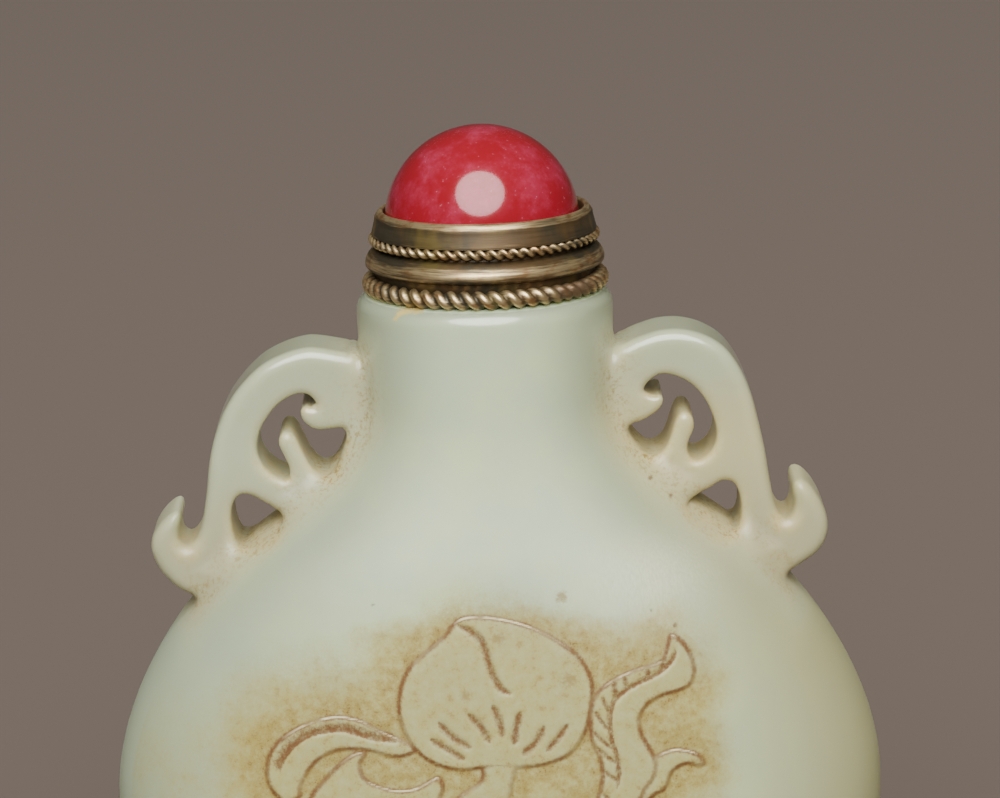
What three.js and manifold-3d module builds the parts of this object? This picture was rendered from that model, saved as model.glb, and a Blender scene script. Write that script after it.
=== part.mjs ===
// A jade snuff bottle with pierced scroll handles, and its stopper: a domed red stone
// set in a brass collar with two rings of twisted wire.
// Millimetres, +Z up. The origin is at the middle of the foot's underside, X runs from
// handle to handle, and the carved front faces -Y.
import * as THREE from 'three';
import { mergeVertices } from 'three/addons/utils/BufferGeometryUtils.js';
import Module from 'manifold-3d';

const wasm = await Module();
wasm.setup();

// ---- Driving dimensions ----
const LIP_HEIGHT = 60;
const LIP_RADIUS = 8.4;
const LIP_ROUNDING = 0.6;
const NECK_RADIUS = 8.3;
const NECK_FOOT = 53.5; // where the neck starts to spread into the shoulders
const SHOULDER_HEIGHT = 44.5;
const SHOULDER_HALF_WIDTH = 15;
const SHOULDER_HALF_DEPTH = 10.1;
const WIDEST_HEIGHT = 26.4;
const BODY_HALF_WIDTH = 25.5;
const BODY_HALF_DEPTH = 11.6;
const FOOT_HALF_WIDTH = 12;
const FOOT_HALF_DEPTH = 7;
const FOOT_HEIGHT = 2.3;
const RECESS_DEPTH = 1.2;
const BORE_RADIUS = 3.4;
const NECK_SQUARENESS = 2; // a round section
const BODY_SQUARENESS = 2.35; // a section a little fuller than an ellipse
const HANDLE_THICKNESS = 5.7;
const HANDLE_BEVEL = 0.3;
const RELIEF_HEIGHT = 0.4;
const VESSEL_SEGMENTS = 40;
const COLLAR_RADIUS = 6.75;
const SPIGOT_RADIUS = 3.15;
const SPIGOT_LENGTH = 4;
const STONE_RADIUS = 6.54;
const STONE_CENTRE = 4.33; // above the lip
const STONE_SEAT = 2.4; // above the lip
const BASE_ROPE = { ring: 7.45, centre: 0.66, strand: 0.36, spread: 0.26, lobes: 50 };
const FINE_ROPE = { ring: 7.2, centre: 3.38, strand: 0.17, spread: 0.13, lobes: 56 };

// ---- Colours ----
const jade = new THREE.MeshStandardMaterial({ color: '#b9bda6', roughness: 0.3 });
const redStone = new THREE.MeshStandardMaterial({ color: '#b0353b', roughness: 0.15 });
const brass = new THREE.MeshStandardMaterial({ color: '#8a6f47', roughness: 0.4, metalness: 1 });
const darkBrass = new THREE.MeshStandardMaterial({ color: '#6e5838', roughness: 0.5, metalness: 1 });

// ---- Between three.js geometries and solids ----

// The geometry's shared corners are merged and its flat triangles left out.
function solid(geometry) {
  const bare = geometry.clone();
  bare.deleteAttribute('normal');
  bare.deleteAttribute('uv');
  const merged = mergeVertices(bare, 1e-4);
  const corners = merged.index.array;
  const kept = [];
  for (let k = 0; k < corners.length; k += 3) {
    const [a, b, c] = corners.slice(k, k + 3);
    if (a !== b && b !== c && c !== a) kept.push(a, b, c);
  }
  const mesh = new wasm.Mesh({
    numProp: 3,
    vertProperties: new Float32Array(merged.attributes.position.array),
    triVerts: new Uint32Array(kept),
  });
  return new wasm.Manifold(mesh);
}

function geometryOf(manifold) {
  const { vertProperties, triVerts } = manifold.getMesh();
  const geometry = new THREE.BufferGeometry();
  geometry.setAttribute('position', new THREE.BufferAttribute(vertProperties, 3));
  geometry.setIndex(new THREE.BufferAttribute(triVerts, 1));
  geometry.computeVertexNormals();
  return geometry;
}

// ---- The vessel ----

// A ring of the vessel has a half width, a half depth and a height.
const ring = (halfWidth, halfDepth, height) => new THREE.Vector3(halfWidth, halfDepth, height);

function squareness(height) {
  const blend = THREE.MathUtils.smoothstep(height, SHOULDER_HEIGHT - 3, NECK_FOOT);
  return THREE.MathUtils.lerp(BODY_SQUARENESS, NECK_SQUARENESS, blend);
}

// A lathe whose rings are pressed into ovals: x and y follow a superellipse.
function ovalLathe(rings, segments) {
  const profile = rings.map((r) => new THREE.Vector2(r.x, r.z));
  const geometry = new THREE.LatheGeometry(profile, segments);
  const position = geometry.attributes.position;
  for (let k = 0; k < position.count; k += 1) {
    const r = rings[k % rings.length];
    const angle = (Math.floor(k / rings.length) / segments) * 2 * Math.PI;
    const power = 2 / squareness(r.z);
    const along = Math.sign(Math.cos(angle)) * Math.abs(Math.cos(angle)) ** power;
    const across = Math.sign(Math.sin(angle)) * Math.abs(Math.sin(angle)) ** power;
    position.setXYZ(k, r.x * along, r.y * across, r.z);
  }
  return geometry;
}

// The outside from the foot up to the lip, as smooth stretches end to end.
const neckFoot = ring(NECK_RADIUS, NECK_RADIUS, NECK_FOOT);
const shoulder = ring(SHOULDER_HALF_WIDTH, SHOULDER_HALF_DEPTH, SHOULDER_HEIGHT);
const widest = ring(BODY_HALF_WIDTH, BODY_HALF_DEPTH, WIDEST_HEIGHT);
const waist = ring(FOOT_HALF_WIDTH - 0.5, FOOT_HALF_DEPTH - 0.4, FOOT_HEIGHT);
const lowerBody = new THREE.CubicBezierCurve3(
  waist, ring(19, 8.8, 4.5), ring(BODY_HALF_WIDTH, BODY_HALF_DEPTH, 14), widest);
const upperBody = new THREE.CubicBezierCurve3(
  widest, ring(BODY_HALF_WIDTH, BODY_HALF_DEPTH, 33.5), ring(19.86, 11.3, 40.96), shoulder);
const sweep = new THREE.CubicBezierCurve3(
  shoulder, ring(11.76, 9.3, 46.86), ring(NECK_RADIUS, NECK_RADIUS, 49.5), neckFoot);

// Every ring of the outside, grown outwards by a constant amount.
function outerRings(grow) {
  const rings = [
    ring(FOOT_HALF_WIDTH - 3.2, FOOT_HALF_DEPTH - 2.6, RECESS_DEPTH),
    ring(FOOT_HALF_WIDTH - 2.9, FOOT_HALF_DEPTH - 2.3, 0),
    ring(FOOT_HALF_WIDTH - 0.4, FOOT_HALF_DEPTH - 0.4, 0),
    ring(FOOT_HALF_WIDTH, FOOT_HALF_DEPTH, 0.6),
    ...lowerBody.getPoints(8),
    ...upperBody.getPoints(9).slice(1),
    ...sweep.getPoints(6).slice(1),
    ring(LIP_RADIUS, LIP_RADIUS, LIP_HEIGHT - LIP_ROUNDING),
    ring(LIP_RADIUS - 0.18, LIP_RADIUS - 0.18, LIP_HEIGHT - 0.18),
    ring(LIP_RADIUS - LIP_ROUNDING, LIP_RADIUS - LIP_ROUNDING, LIP_HEIGHT),
  ];
  const grown = rings.map((r) => ring(r.x + grow, r.y + grow, r.z));
  return [ring(0, 0, RECESS_DEPTH), ...grown, ring(0, 0, LIP_HEIGHT)];
}

// The hollow: a wide chamber that narrows to a straight bore through the neck.
function hollow() {
  const chamber = new THREE.CatmullRomCurve3([
    ring(5, 2.8, 6), ring(14.5, 6, 10.5), ring(20.2, 7.6, 18), ring(21.4, 7.9, 27),
    ring(19.4, 7.6, 34.5), ring(14.2, 6.8, 40), ring(8.4, 5.6, 44.5), ring(4.8, 4.4, 48),
    ring(BORE_RADIUS, BORE_RADIUS, 51.5),
  ]);
  const above = LIP_HEIGHT + 1;
  return solid(ovalLathe([
    ring(0, 0, 6), ...chamber.getPoints(11), ring(BORE_RADIUS, BORE_RADIUS, above), ring(0, 0, above),
  ], 24));
}

// ---- The handles ----

// Each handle was cut by eye, so the two differ a little. A point is a distance from the
// middle and a height, and each line is a smooth closed curve through its points. They run
// clockwise for the handle at +X. The last four points of an edge lie inside the body.
const rightHandle = {
  edge: [
    [8.3, 55.85], [10.2, 56.95], [12.4, 57.25], [15.4, 55.75], [17.1, 52.9], [18, 49], [18.65, 45.4],
    [19.45, 44.35], [20, 45.2], [20.1, 46.85], [21.4, 45.4], [21.95, 43.6], [21.1, 42.1],
    [19.3, 40.9], [17, 39.5], [12, 42], [7, 46], [6.2, 52],
  ],
  scrollHole: [
    [10.2, 53.4], [11.4, 54.35], [13.5, 53.5], [14.8, 51], [14.5, 49.2], [13.2, 48.75],
    [12.85, 50], [12.95, 51.1], [12.2, 50.9], [11.4, 49.2], [10.3, 49.05], [9.1, 50.8],
    [10.4, 51.7], [11.2, 52.75],
  ],
  lowerHole: [[13, 45.7], [14.3, 46.65], [15.6, 47.15], [16.4, 45.4], [15.8, 43.8], [14.2, 44.3]],
};
const leftHandle = {
  edge: [
    [8.3, 55.9], [9.8, 56.5], [11.6, 56.75], [14.6, 55.6], [17, 52.9], [18.3, 49.3], [18.95, 45.5],
    [20, 43.75], [20.6, 44.6], [20.6, 46.1], [22, 44.95], [22.3, 43.7], [21.4, 41.9],
    [19.5, 40.75], [17, 39.4], [12, 42], [7, 46], [6.2, 52],
  ],
  scrollHole: [
    [11.2, 53.1], [12.2, 53.85], [14, 52.9], [15.15, 50.5], [14.4, 48.7], [13.2, 48.3],
    [13.3, 49.8], [13.5, 50.9], [12.8, 50.7], [11.8, 48.9], [10.6, 48.4], [9.4, 50.3],
    [9.6, 51.5], [11.3, 51.5], [12.1, 52.5],
  ],
  lowerHole: [[13.7, 45.6], [14.9, 46.75], [16.2, 47.2], [17, 45.8], [16.5, 43.8], [14.8, 44.3]],
};

// The corners of a smooth closed curve through the points.
function smoothLoop(points, count) {
  const through = points.map(([x, z]) => new THREE.Vector3(x, z, 0));
  const corners = new THREE.CatmullRomCurve3(through, true).getSpacedPoints(count);
  return corners.slice(0, count).map((p) => new THREE.Vector2(p.x, p.y));
}

// side is 1 for the handle at +X and -1 for the one at -X.
function handle(cut, side) {
  const shape = new THREE.Shape(smoothLoop(cut.edge, 40).reverse());
  shape.holes = [
    new THREE.Path(smoothLoop(cut.scrollHole, 32)),
    new THREE.Path(smoothLoop(cut.lowerHole, 10)),
  ];
  const straight = HANDLE_THICKNESS - 2 * HANDLE_BEVEL;
  const geometry = new THREE.ExtrudeGeometry(shape, {
    depth: straight, steps: 1, bevelSegments: 1,
    bevelThickness: HANDLE_BEVEL, bevelSize: HANDLE_BEVEL, bevelOffset: -HANDLE_BEVEL,
  });
  geometry.rotateX(Math.PI / 2);
  geometry.translate(0, straight / 2, 0);
  if (side < 0) geometry.rotateZ(Math.PI);
  return solid(geometry);
}

// ---- The raised carving on the front: a peach, with leaves along a branch ----

const PEACH = [
  [-2.6, 40.3], [-0.4, 40.7], [3.2, 39.5], [5.9, 36.8], [5.5, 32.8], [3, 30.9], [-3, 30.8],
  [-5.9, 32.8], [-6.1, 36.4], [-4, 38.8],
];
const BRANCH = { middle: [[-11, 24.8], [-5.5, 25.4], [-1.2, 27.6], [4, 26.6], [9.5, 27.4]], halfWidth: 0.6 };
const STALK = { middle: [[-1.2, 27], [-0.6, 29], [0, 31.2]], halfWidth: 0.9 };
const LEAVES = [
  { middle: [[-5.6, 32], [-10, 33.3], [-13.5, 31.6], [-14.2, 27.6]], halfWidth: 1.4 },
  { middle: [[-4, 29], [-7.4, 28.6], [-11.6, 25.4]], halfWidth: 1.5 },
  { middle: [[8.6, 27.2], [7.8, 32], [9, 35.4], [11.8, 38.5]], halfWidth: 1.7 },
  { middle: [[10, 28.4], [12.6, 29.4], [15.4, 25.2]], halfWidth: 1.4 },
  { middle: [[-2, 25.8], [0.2, 22.2], [-0.4, 17.6]], halfWidth: 1.8 },
  { middle: [[-6.4, 24.6], [-7.2, 21], [-10.2, 17.6]], halfWidth: 1.8 },
  { middle: [[5.2, 26], [8.6, 22.6], [11.4, 17.8]], halfWidth: 1.9 },
];

// A strip along a curved middle line. A tapered one runs to a point at both ends.
function strip({ middle, halfWidth }, tapered) {
  const steps = 9;
  const curve = new THREE.SplineCurve(middle.map(([x, z]) => new THREE.Vector2(x, z)));
  const near = [];
  const far = [];
  for (let k = 0; k <= steps; k += 1) {
    const t = k / steps;
    const centre = curve.getPoint(t);
    const along = curve.getTangent(t);
    const reach = tapered ? halfWidth * Math.sin(Math.PI * t) ** 0.7 + 0.05 : halfWidth;
    near.push(new THREE.Vector2(centre.x - along.y * reach, centre.y + along.x * reach));
    far.unshift(new THREE.Vector2(centre.x + along.y * reach, centre.y - along.x * reach));
  }
  return [...near, ...far];
}

// Every motif is a block cut off by the vessel's skin grown by the height of the relief.
function relief() {
  const skin = solid(ovalLathe(outerRings(RELIEF_HEIGHT), VESSEL_SEGMENTS));
  const outlines = [
    smoothLoop(PEACH, 22),
    strip(BRANCH, false),
    strip(STALK, false),
    ...LEAVES.map((leaf) => strip(leaf, true)),
  ];
  let motifs = null;
  for (const outline of outlines) {
    const geometry = new THREE.ExtrudeGeometry(
      new THREE.Shape(outline), { depth: 9, bevelEnabled: false });
    geometry.rotateX(Math.PI / 2);
    geometry.translate(0, -5, 0);
    const block = solid(geometry);
    motifs = motifs ? motifs.add(block) : block;
  }
  return motifs.intersect(skin);
}

function bottle() {
  const vessel = solid(ovalLathe(outerRings(0), VESSEL_SEGMENTS))
    .add(handle(rightHandle, 1))
    .add(handle(leftHandle, -1))
    .add(relief())
    .subtract(hollow());
  const mesh = new THREE.Mesh(geometryOf(vessel), jade);
  mesh.name = 'bottle';
  return mesh;
}

// ---- The stopper, with the lip's plane at height 0 ----

function lathe(points, segments) {
  const profile = points.map(([radius, height]) => new THREE.Vector2(radius, height));
  const geometry = new THREE.LatheGeometry(profile, segments);
  geometry.rotateX(Math.PI / 2);
  return geometry;
}

// A plug, a foot for the heavy rope, a half-round band, a groove for the fine rope, and
// a bezel turned in over the stone.
function collar() {
  const geometry = lathe([
    [0, -SPIGOT_LENGTH], [SPIGOT_RADIUS - 0.3, -SPIGOT_LENGTH], [SPIGOT_RADIUS, -SPIGOT_LENGTH + 0.3],
    [SPIGOT_RADIUS, 0], [COLLAR_RADIUS, 0], [COLLAR_RADIUS, 1.35],
    [7.45, 1.45], [7.75, 1.8], [7.85, 2.2], [7.75, 2.6], [7.45, 2.95],
    [6.85, 3.05], [6.85, 3.65], [7.45, 3.75], [6.97, 4.4],
    [6.95, 5.3], [6.72, 5.6], [6.5, 5.6], [6.62, 4.9], [6.62, STONE_SEAT], [0, STONE_SEAT],
  ], 32);
  const mesh = new THREE.Mesh(geometryOf(solid(geometry)), brass);
  mesh.name = 'stopper_collar';
  return mesh;
}

function stone() {
  const arc = [];
  const low = Math.asin((STONE_SEAT - STONE_CENTRE) / STONE_RADIUS);
  const steps = 9;
  for (let k = 0; k < steps; k += 1) {
    const angle = THREE.MathUtils.lerp(low, Math.PI / 2, k / steps);
    arc.push([STONE_RADIUS * Math.cos(angle), STONE_CENTRE + STONE_RADIUS * Math.sin(angle)]);
  }
  const geometry = lathe([[0, STONE_SEAT], ...arc, [0, STONE_CENTRE + STONE_RADIUS]], 32);
  const mesh = new THREE.Mesh(geometryOf(solid(geometry)), redStone);
  mesh.name = 'stopper_stone';
  return mesh;
}

// Two round wires twisted together and bent into a ring. Each half turn is one lobe, and
// the outline of the pair is how far it reaches at an angle from the line through both.
function ropeRing(rope, sides, stepsPerLobe, name) {
  const steps = rope.lobes * stepsPerLobe;
  const geometry = new THREE.TorusGeometry(rope.ring, 1, sides, steps);
  const position = geometry.attributes.position;
  const point = new THREE.Vector3();
  const centre = new THREE.Vector3();
  for (let k = 0; k < position.count; k += 1) {
    point.fromBufferAttribute(position, k);
    const around = Math.atan2(point.y, point.x);
    centre.set(rope.ring * Math.cos(around), rope.ring * Math.sin(around), 0);
    const offset = point.sub(centre);
    const across = Math.atan2(offset.z, Math.hypot(point.x + centre.x, point.y + centre.y) - rope.ring);
    const turn = across - (around * rope.lobes) / 2;
    const reach = rope.spread * Math.abs(Math.cos(turn))
      + Math.sqrt(rope.strand ** 2 - (rope.spread * Math.sin(turn)) ** 2);
    offset.multiplyScalar(reach).add(centre);
    position.setXYZ(k, offset.x, offset.y, offset.z);
  }
  geometry.translate(0, 0, rope.centre);
  const mesh = new THREE.Mesh(geometryOf(solid(geometry)), darkBrass);
  mesh.name = name;
  return mesh;
}

const stopper = new THREE.Group();
stopper.position.z = LIP_HEIGHT;
stopper.add(
  collar(),
  ropeRing(BASE_ROPE, 5, 3, 'stopper_base_rope'),
  ropeRing(FINE_ROPE, 4, 2, 'stopper_fine_rope'),
  stone(),
);

const snuffBottle = new THREE.Group();
snuffBottle.add(bottle(), stopper);

export default snuffBottle;
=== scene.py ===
import math

import bmesh
import bpy
import numpy as np
from mathutils import Matrix, Vector, noise


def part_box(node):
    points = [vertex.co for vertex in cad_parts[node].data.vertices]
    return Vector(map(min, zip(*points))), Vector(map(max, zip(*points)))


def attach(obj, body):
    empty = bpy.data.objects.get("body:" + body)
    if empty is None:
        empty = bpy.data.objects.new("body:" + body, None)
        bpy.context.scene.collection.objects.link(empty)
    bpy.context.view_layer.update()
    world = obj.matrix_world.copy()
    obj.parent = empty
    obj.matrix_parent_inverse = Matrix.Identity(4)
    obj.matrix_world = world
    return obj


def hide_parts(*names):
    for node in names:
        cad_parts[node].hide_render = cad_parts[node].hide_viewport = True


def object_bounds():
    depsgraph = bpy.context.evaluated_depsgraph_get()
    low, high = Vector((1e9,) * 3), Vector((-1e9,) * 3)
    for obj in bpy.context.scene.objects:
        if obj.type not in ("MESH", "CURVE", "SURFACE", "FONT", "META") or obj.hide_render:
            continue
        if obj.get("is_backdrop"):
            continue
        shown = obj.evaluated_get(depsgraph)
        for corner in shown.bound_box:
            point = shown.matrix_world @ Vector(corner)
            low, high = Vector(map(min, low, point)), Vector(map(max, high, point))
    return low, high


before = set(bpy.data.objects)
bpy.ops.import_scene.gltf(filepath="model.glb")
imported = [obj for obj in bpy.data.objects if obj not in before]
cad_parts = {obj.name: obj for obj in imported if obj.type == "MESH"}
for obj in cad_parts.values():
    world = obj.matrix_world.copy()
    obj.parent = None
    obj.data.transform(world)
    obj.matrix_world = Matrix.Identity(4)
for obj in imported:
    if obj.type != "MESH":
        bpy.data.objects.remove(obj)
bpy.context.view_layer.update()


# ======================================================================================
# The camera, close in front of the bottle and looking a little down on its upper half.
# It is rolled slightly, so the bottle leans to the left.

MM = 0.001
VIEW_CENTRE = Vector((0.81, 0, 52.5)) * MM
VIEW_DISTANCE = 280 * MM
VIEW_DOWN = math.radians(12.5)
VIEW_ROLL = math.radians(-1.8)
VIEW_WIDTH = 65.8 * MM

camera_data = bpy.data.cameras.new("camera")
camera_data.sensor_width = 36
camera_data.lens = camera_data.sensor_width * VIEW_DISTANCE / VIEW_WIDTH
camera_data.clip_start = 0.01
camera = bpy.data.objects.new("camera", camera_data)
bpy.context.scene.collection.objects.link(camera)
view_back = Vector((0, -math.cos(VIEW_DOWN), math.sin(VIEW_DOWN)))
camera.location = VIEW_CENTRE + VIEW_DISTANCE * view_back
level = (-view_back).to_track_quat("-Z", "Y").to_matrix()
camera.rotation_euler = (level @ Matrix.Rotation(VIEW_ROLL, 3, "Z")).to_euler()
bpy.context.scene.camera = camera


# ======================================================================================
# The studio: a plain floor of warm grey paper, one round soft light high in front, a weak
# one low behind that isn't mirrored, and an even dim light from all round.

LIGHT_DISTANCE = 4000 * MM
LIGHT_RISE = math.radians(44)
LIGHT_DIAMETER = 4160 * MM
LIGHT_POWER = 455
FILL_RISE = math.radians(18)
FILL_POWER = 95
WORLD_STRENGTH = 0.16
FLOOR_HALF_WIDTH = 4000 * MM


def linear(hex_colour):
    """An sRGB hex colour as linear red, green, blue and alpha."""
    channels = [int(hex_colour[k:k + 2], 16) / 255 for k in (1, 3, 5)]
    bent = [c / 12.92 if c <= 0.04045 else ((c + 0.055) / 1.055) ** 2.4 for c in channels]
    return (*bent, 1.0)


def add_node(material, kind, settings=None, out=0, **links):
    """Adds a node and returns one of its outputs. settings are its properties, and links
    are its inputs, by name or number: a value to set, or another node's output to join."""
    node = material.node_tree.nodes.new("ShaderNode" + kind)
    for name, value in (settings or {}).items():
        setattr(node, name, value)
    for name, value in links.items():
        key = name.replace("_", " ").removeprefix("input")
        socket = node.inputs[int(key) if key.isdigit() else key]
        if isinstance(value, bpy.types.NodeSocket):
            material.node_tree.links.new(value, socket)
        else:
            socket.default_value = value
    return node.outputs[out]


def new_material(name):
    """An empty node material and the Surface socket of its output."""
    material = bpy.data.materials.new(name)
    material.use_nodes = True
    material.node_tree.nodes.clear()
    surface = material.node_tree.nodes.new("ShaderNodeOutputMaterial").inputs["Surface"]
    return material, surface


def hang_light(name, way, power):
    """A round soft light far off in that direction, turned to the middle of the view."""
    light = bpy.data.lights.new(name, "AREA")
    light.shape = "DISK"
    light.size = LIGHT_DIAMETER
    light.energy = power
    lamp = bpy.data.objects.new(name, light)
    bpy.context.scene.collection.objects.link(lamp)
    lamp.location = VIEW_CENTRE + LIGHT_DISTANCE * way
    lamp.rotation_euler = way.to_track_quat("Z", "Y").to_euler()
    return lamp


soft_way = Vector((-0.02, -math.cos(LIGHT_RISE), math.sin(LIGHT_RISE)))
soft_lamp = hang_light("soft_light", soft_way, LIGHT_POWER)
soft_lamp.data.color = (1.0, 1.0, 0.98)
fill_way = Vector((0.1, math.cos(FILL_RISE), math.sin(FILL_RISE)))
fill_lamp = hang_light("fill_light", fill_way, FILL_POWER)
fill_lamp.visible_glossy = False

world = bpy.data.worlds.new("studio")
world.use_nodes = True
all_round = world.node_tree.nodes["Background"].inputs
all_round["Color"].default_value = linear("#a39a92")
all_round["Strength"].default_value = WORLD_STRENGTH
bpy.context.scene.world = world

# Seamless paper: matt and warm grey, with nothing on it.
paper, paper_surface = new_material("warm_grey_paper")
paper_shader = add_node(
    paper, "BsdfPrincipled", Base_Color=linear("#5e544d"), Roughness=0.9,
    Specular_IOR_Level=0.1)
paper.node_tree.links.new(paper_shader, paper_surface)
floor_shape = bmesh.new()
bmesh.ops.create_grid(floor_shape, x_segments=1, y_segments=1, size=FLOOR_HALF_WIDTH)
floor_mesh = bpy.data.meshes.new("floor")
floor_shape.to_mesh(floor_mesh)
floor_shape.free()
floor_mesh.materials.append(paper)
floor = bpy.data.objects.new("floor", floor_mesh)
bpy.context.scene.collection.objects.link(floor)
floor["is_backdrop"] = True


# ======================================================================================
# The bottle, cut from one piece of pale celadon jade: a flattened body hollowed through
# a round neck, on a low oval foot, with a pierced scroll handle on each shoulder.

bottle_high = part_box("bottle")[1]
LIP_HEIGHT = bottle_high.z
BODY_HALF_WIDTH = bottle_high.x
BODY_HALF_DEPTH = bottle_high.y
LIP_RADIUS = 8.4 * MM
LIP_ROUNDING = 1.1 * MM
NECK_RADIUS = 8.3 * MM
NECK_FOOT = 53.5 * MM
SHOULDER = (15 * MM, 10.1 * MM, 44.5 * MM)  # half width, half depth, height
WIDEST_HEIGHT = 26.4 * MM
FOOT_HALF_WIDTH = 12 * MM
FOOT_HALF_DEPTH = 7 * MM
FOOT_HEIGHT = 1.7 * MM
RECESS_DEPTH = 1.2 * MM
BORE_RADIUS = 3.4 * MM
HOLLOW_FLOOR = 6 * MM
BODY_SQUARENESS = 2.35
NECK_SQUARENESS = 2.0
ROUND_STEPS = 144
HOLLOW_STEPS = 40
LIP_STEPS = 6
MERGE_DISTANCE = 1e-7

# Where the front is carved, and how far past that it is still worked out.
FIELD_HALF_WIDTH = 16.6 * MM
FIELD_LOW = 12.2 * MM
FIELD_HIGH = 42.6 * MM
FIELD_MARGIN = 3 * MM
SIDE_MARGIN = 2.5 * MM
# Where the handles grow out of the body.
JOINT_LOW = 39.5 * MM
JOINT_HIGH = 59.2 * MM
JOINT_HALF_DEPTH = 3.7 * MM


def smooth_step(low, high, value):
    t = np.clip((value - low) / (high - low), 0, 1)
    return t * t * (3 - 2 * t)


def bezier(stretch, count):
    """Points along a cubic curve of (half width, half depth, height), in metres."""
    a, b, c, d = (np.array(p) for p in stretch)
    t = np.linspace(0, 1, count + 1)[:, None]
    return a * (1 - t) ** 3 + 3 * b * t * (1 - t) ** 2 + 3 * c * t * t * (1 - t) + d * t ** 3


neck_foot = (NECK_RADIUS, NECK_RADIUS, NECK_FOOT)
widest = (BODY_HALF_WIDTH, BODY_HALF_DEPTH, WIDEST_HEIGHT)
waist = (FOOT_HALF_WIDTH - 0.5 * MM, FOOT_HALF_DEPTH - 0.4 * MM, 2.3 * MM)
lower_body = (
    waist, (19 * MM, 8.8 * MM, 4.5 * MM), (BODY_HALF_WIDTH, BODY_HALF_DEPTH, 14 * MM), widest)
upper_body = (
    widest, (BODY_HALF_WIDTH, BODY_HALF_DEPTH, 33.5 * MM), (19.86 * MM, 11.3 * MM, 40.96 * MM),
    SHOULDER)
sweep = (
    SHOULDER, (11.76 * MM, 9.3 * MM, 46.86 * MM), (NECK_RADIUS, NECK_RADIUS, 49.5 * MM),
    neck_foot)


def foot_rings():
    """The recess under the foot, its flat rim and its rounded edge."""
    wide, deep = FOOT_HALF_WIDTH, FOOT_HALF_DEPTH
    steps = [(-3.6, RECESS_DEPTH), (-3.3, RECESS_DEPTH - 0.1 * MM), (-3.1, 0.3 * MM),
             (-2.9, 0.05 * MM), (-2.7, 0), (-0.6, 0), (-0.3, 0.06 * MM), (-0.08, 0.3 * MM),
             (0, 0.7 * MM), (-0.1, 1.2 * MM), (-0.3, FOOT_HEIGHT)]
    return [(wide + step * MM, deep + step * MM, height) for step, height in steps]


def lip_rings():
    """The straight top of the neck, with a rounded edge and a flat lip."""
    low = LIP_HEIGHT - LIP_ROUNDING
    rings = [(LIP_RADIUS - 0.05 * MM, LIP_RADIUS - 0.05 * MM, low - 2 * MM)]
    for step in range(LIP_STEPS + 1):
        angle = step / LIP_STEPS * math.pi / 2
        radius = LIP_RADIUS - LIP_ROUNDING * (1 - math.cos(angle))
        rings.append((radius, radius, low + LIP_ROUNDING * math.sin(angle)))
    rings.append((6.5 * MM, 6.5 * MM, LIP_HEIGHT))
    return rings


outside = [
    (0, 0, RECESS_DEPTH), *foot_rings(), *bezier(lower_body, 36), *bezier(upper_body, 30)[1:],
    *bezier(sweep, 18)[1:], (8.32 * MM, 8.32 * MM, 55.4 * MM), *lip_rings(), (0, 0, LIP_HEIGHT)]
side = np.array([ring for ring in outside if ring[0] > 0])
side = side[np.argmax(side[:, 2] > FOOT_HEIGHT):]


def squareness(height):
    blend = smooth_step(SHOULDER[2] - 3 * MM, NECK_FOOT, height)
    return BODY_SQUARENESS + (NECK_SQUARENESS - BODY_SQUARENESS) * blend


def reach(half_width, half_depth, power, direction):
    """How far the oval reaches from the axis in that direction."""
    across = abs(np.cos(direction) / half_width) ** power
    return (across + abs(np.sin(direction) / half_depth) ** power) ** (-1 / power)


def press_to_skin(vertices):
    """Moves points out to the body's smooth outside, keeping their height and direction."""
    for vertex in vertices:
        height = vertex.co.z
        wide = np.interp(height, side[:, 2], side[:, 0])
        deep = np.interp(height, side[:, 2], side[:, 1])
        direction = math.atan2(vertex.co.y, vertex.co.x)
        far = reach(wide, deep, squareness(height), direction)
        vertex.co.x = far * math.cos(direction)
        vertex.co.y = far * math.sin(direction)


def turned_oval(rings, steps):
    """Spins a profile round the axis and presses each of its rings into an oval."""
    shape = bmesh.new()
    ring_of = shape.verts.layers.int.new("ring")
    chain = []
    for number, (wide, _, height) in enumerate(rings):
        vertex = shape.verts.new((wide, 0, height))
        vertex[ring_of] = number
        chain.append(vertex)
    edges = [shape.edges.new(pair) for pair in zip(chain, chain[1:])]
    bmesh.ops.spin(
        shape, geom=chain + edges, cent=(0, 0, 0), axis=(0, 0, 1), angle=math.tau, steps=steps,
        use_merge=True)
    bmesh.ops.remove_doubles(shape, verts=shape.verts, dist=MERGE_DISTANCE)
    for vertex in shape.verts:
        wide, deep, height = rings[vertex[ring_of]]
        if wide == 0:
            continue
        turn = math.atan2(vertex.co.y, vertex.co.x)
        # Steps are spread between the narrow and the wide sides of the oval.
        direction = math.atan2(math.sin(turn) * math.sqrt(deep), math.cos(turn) * math.sqrt(wide))
        far = reach(wide, deep, squareness(height), direction)
        vertex.co.x = far * math.cos(direction)
        vertex.co.y = far * math.sin(direction)
    bmesh.ops.recalc_face_normals(shape, faces=shape.faces)
    return shape


def new_piece(name, shape, material=None):
    """A shaded object from a bmesh, which is freed."""
    mesh = bpy.data.meshes.new(name)
    shape.to_mesh(mesh)
    shape.free()
    mesh.shade_smooth()
    if material:
        mesh.materials.append(material)
    piece = bpy.data.objects.new(name, mesh)
    bpy.context.scene.collection.objects.link(piece)
    return piece


# --------------------------------------------------------------------------------------
# The carving: a peach among leaves on a branch, left standing while the ground round it
# was cut back a little, with the lines engraved. Points are millimetres across and up.

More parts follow.
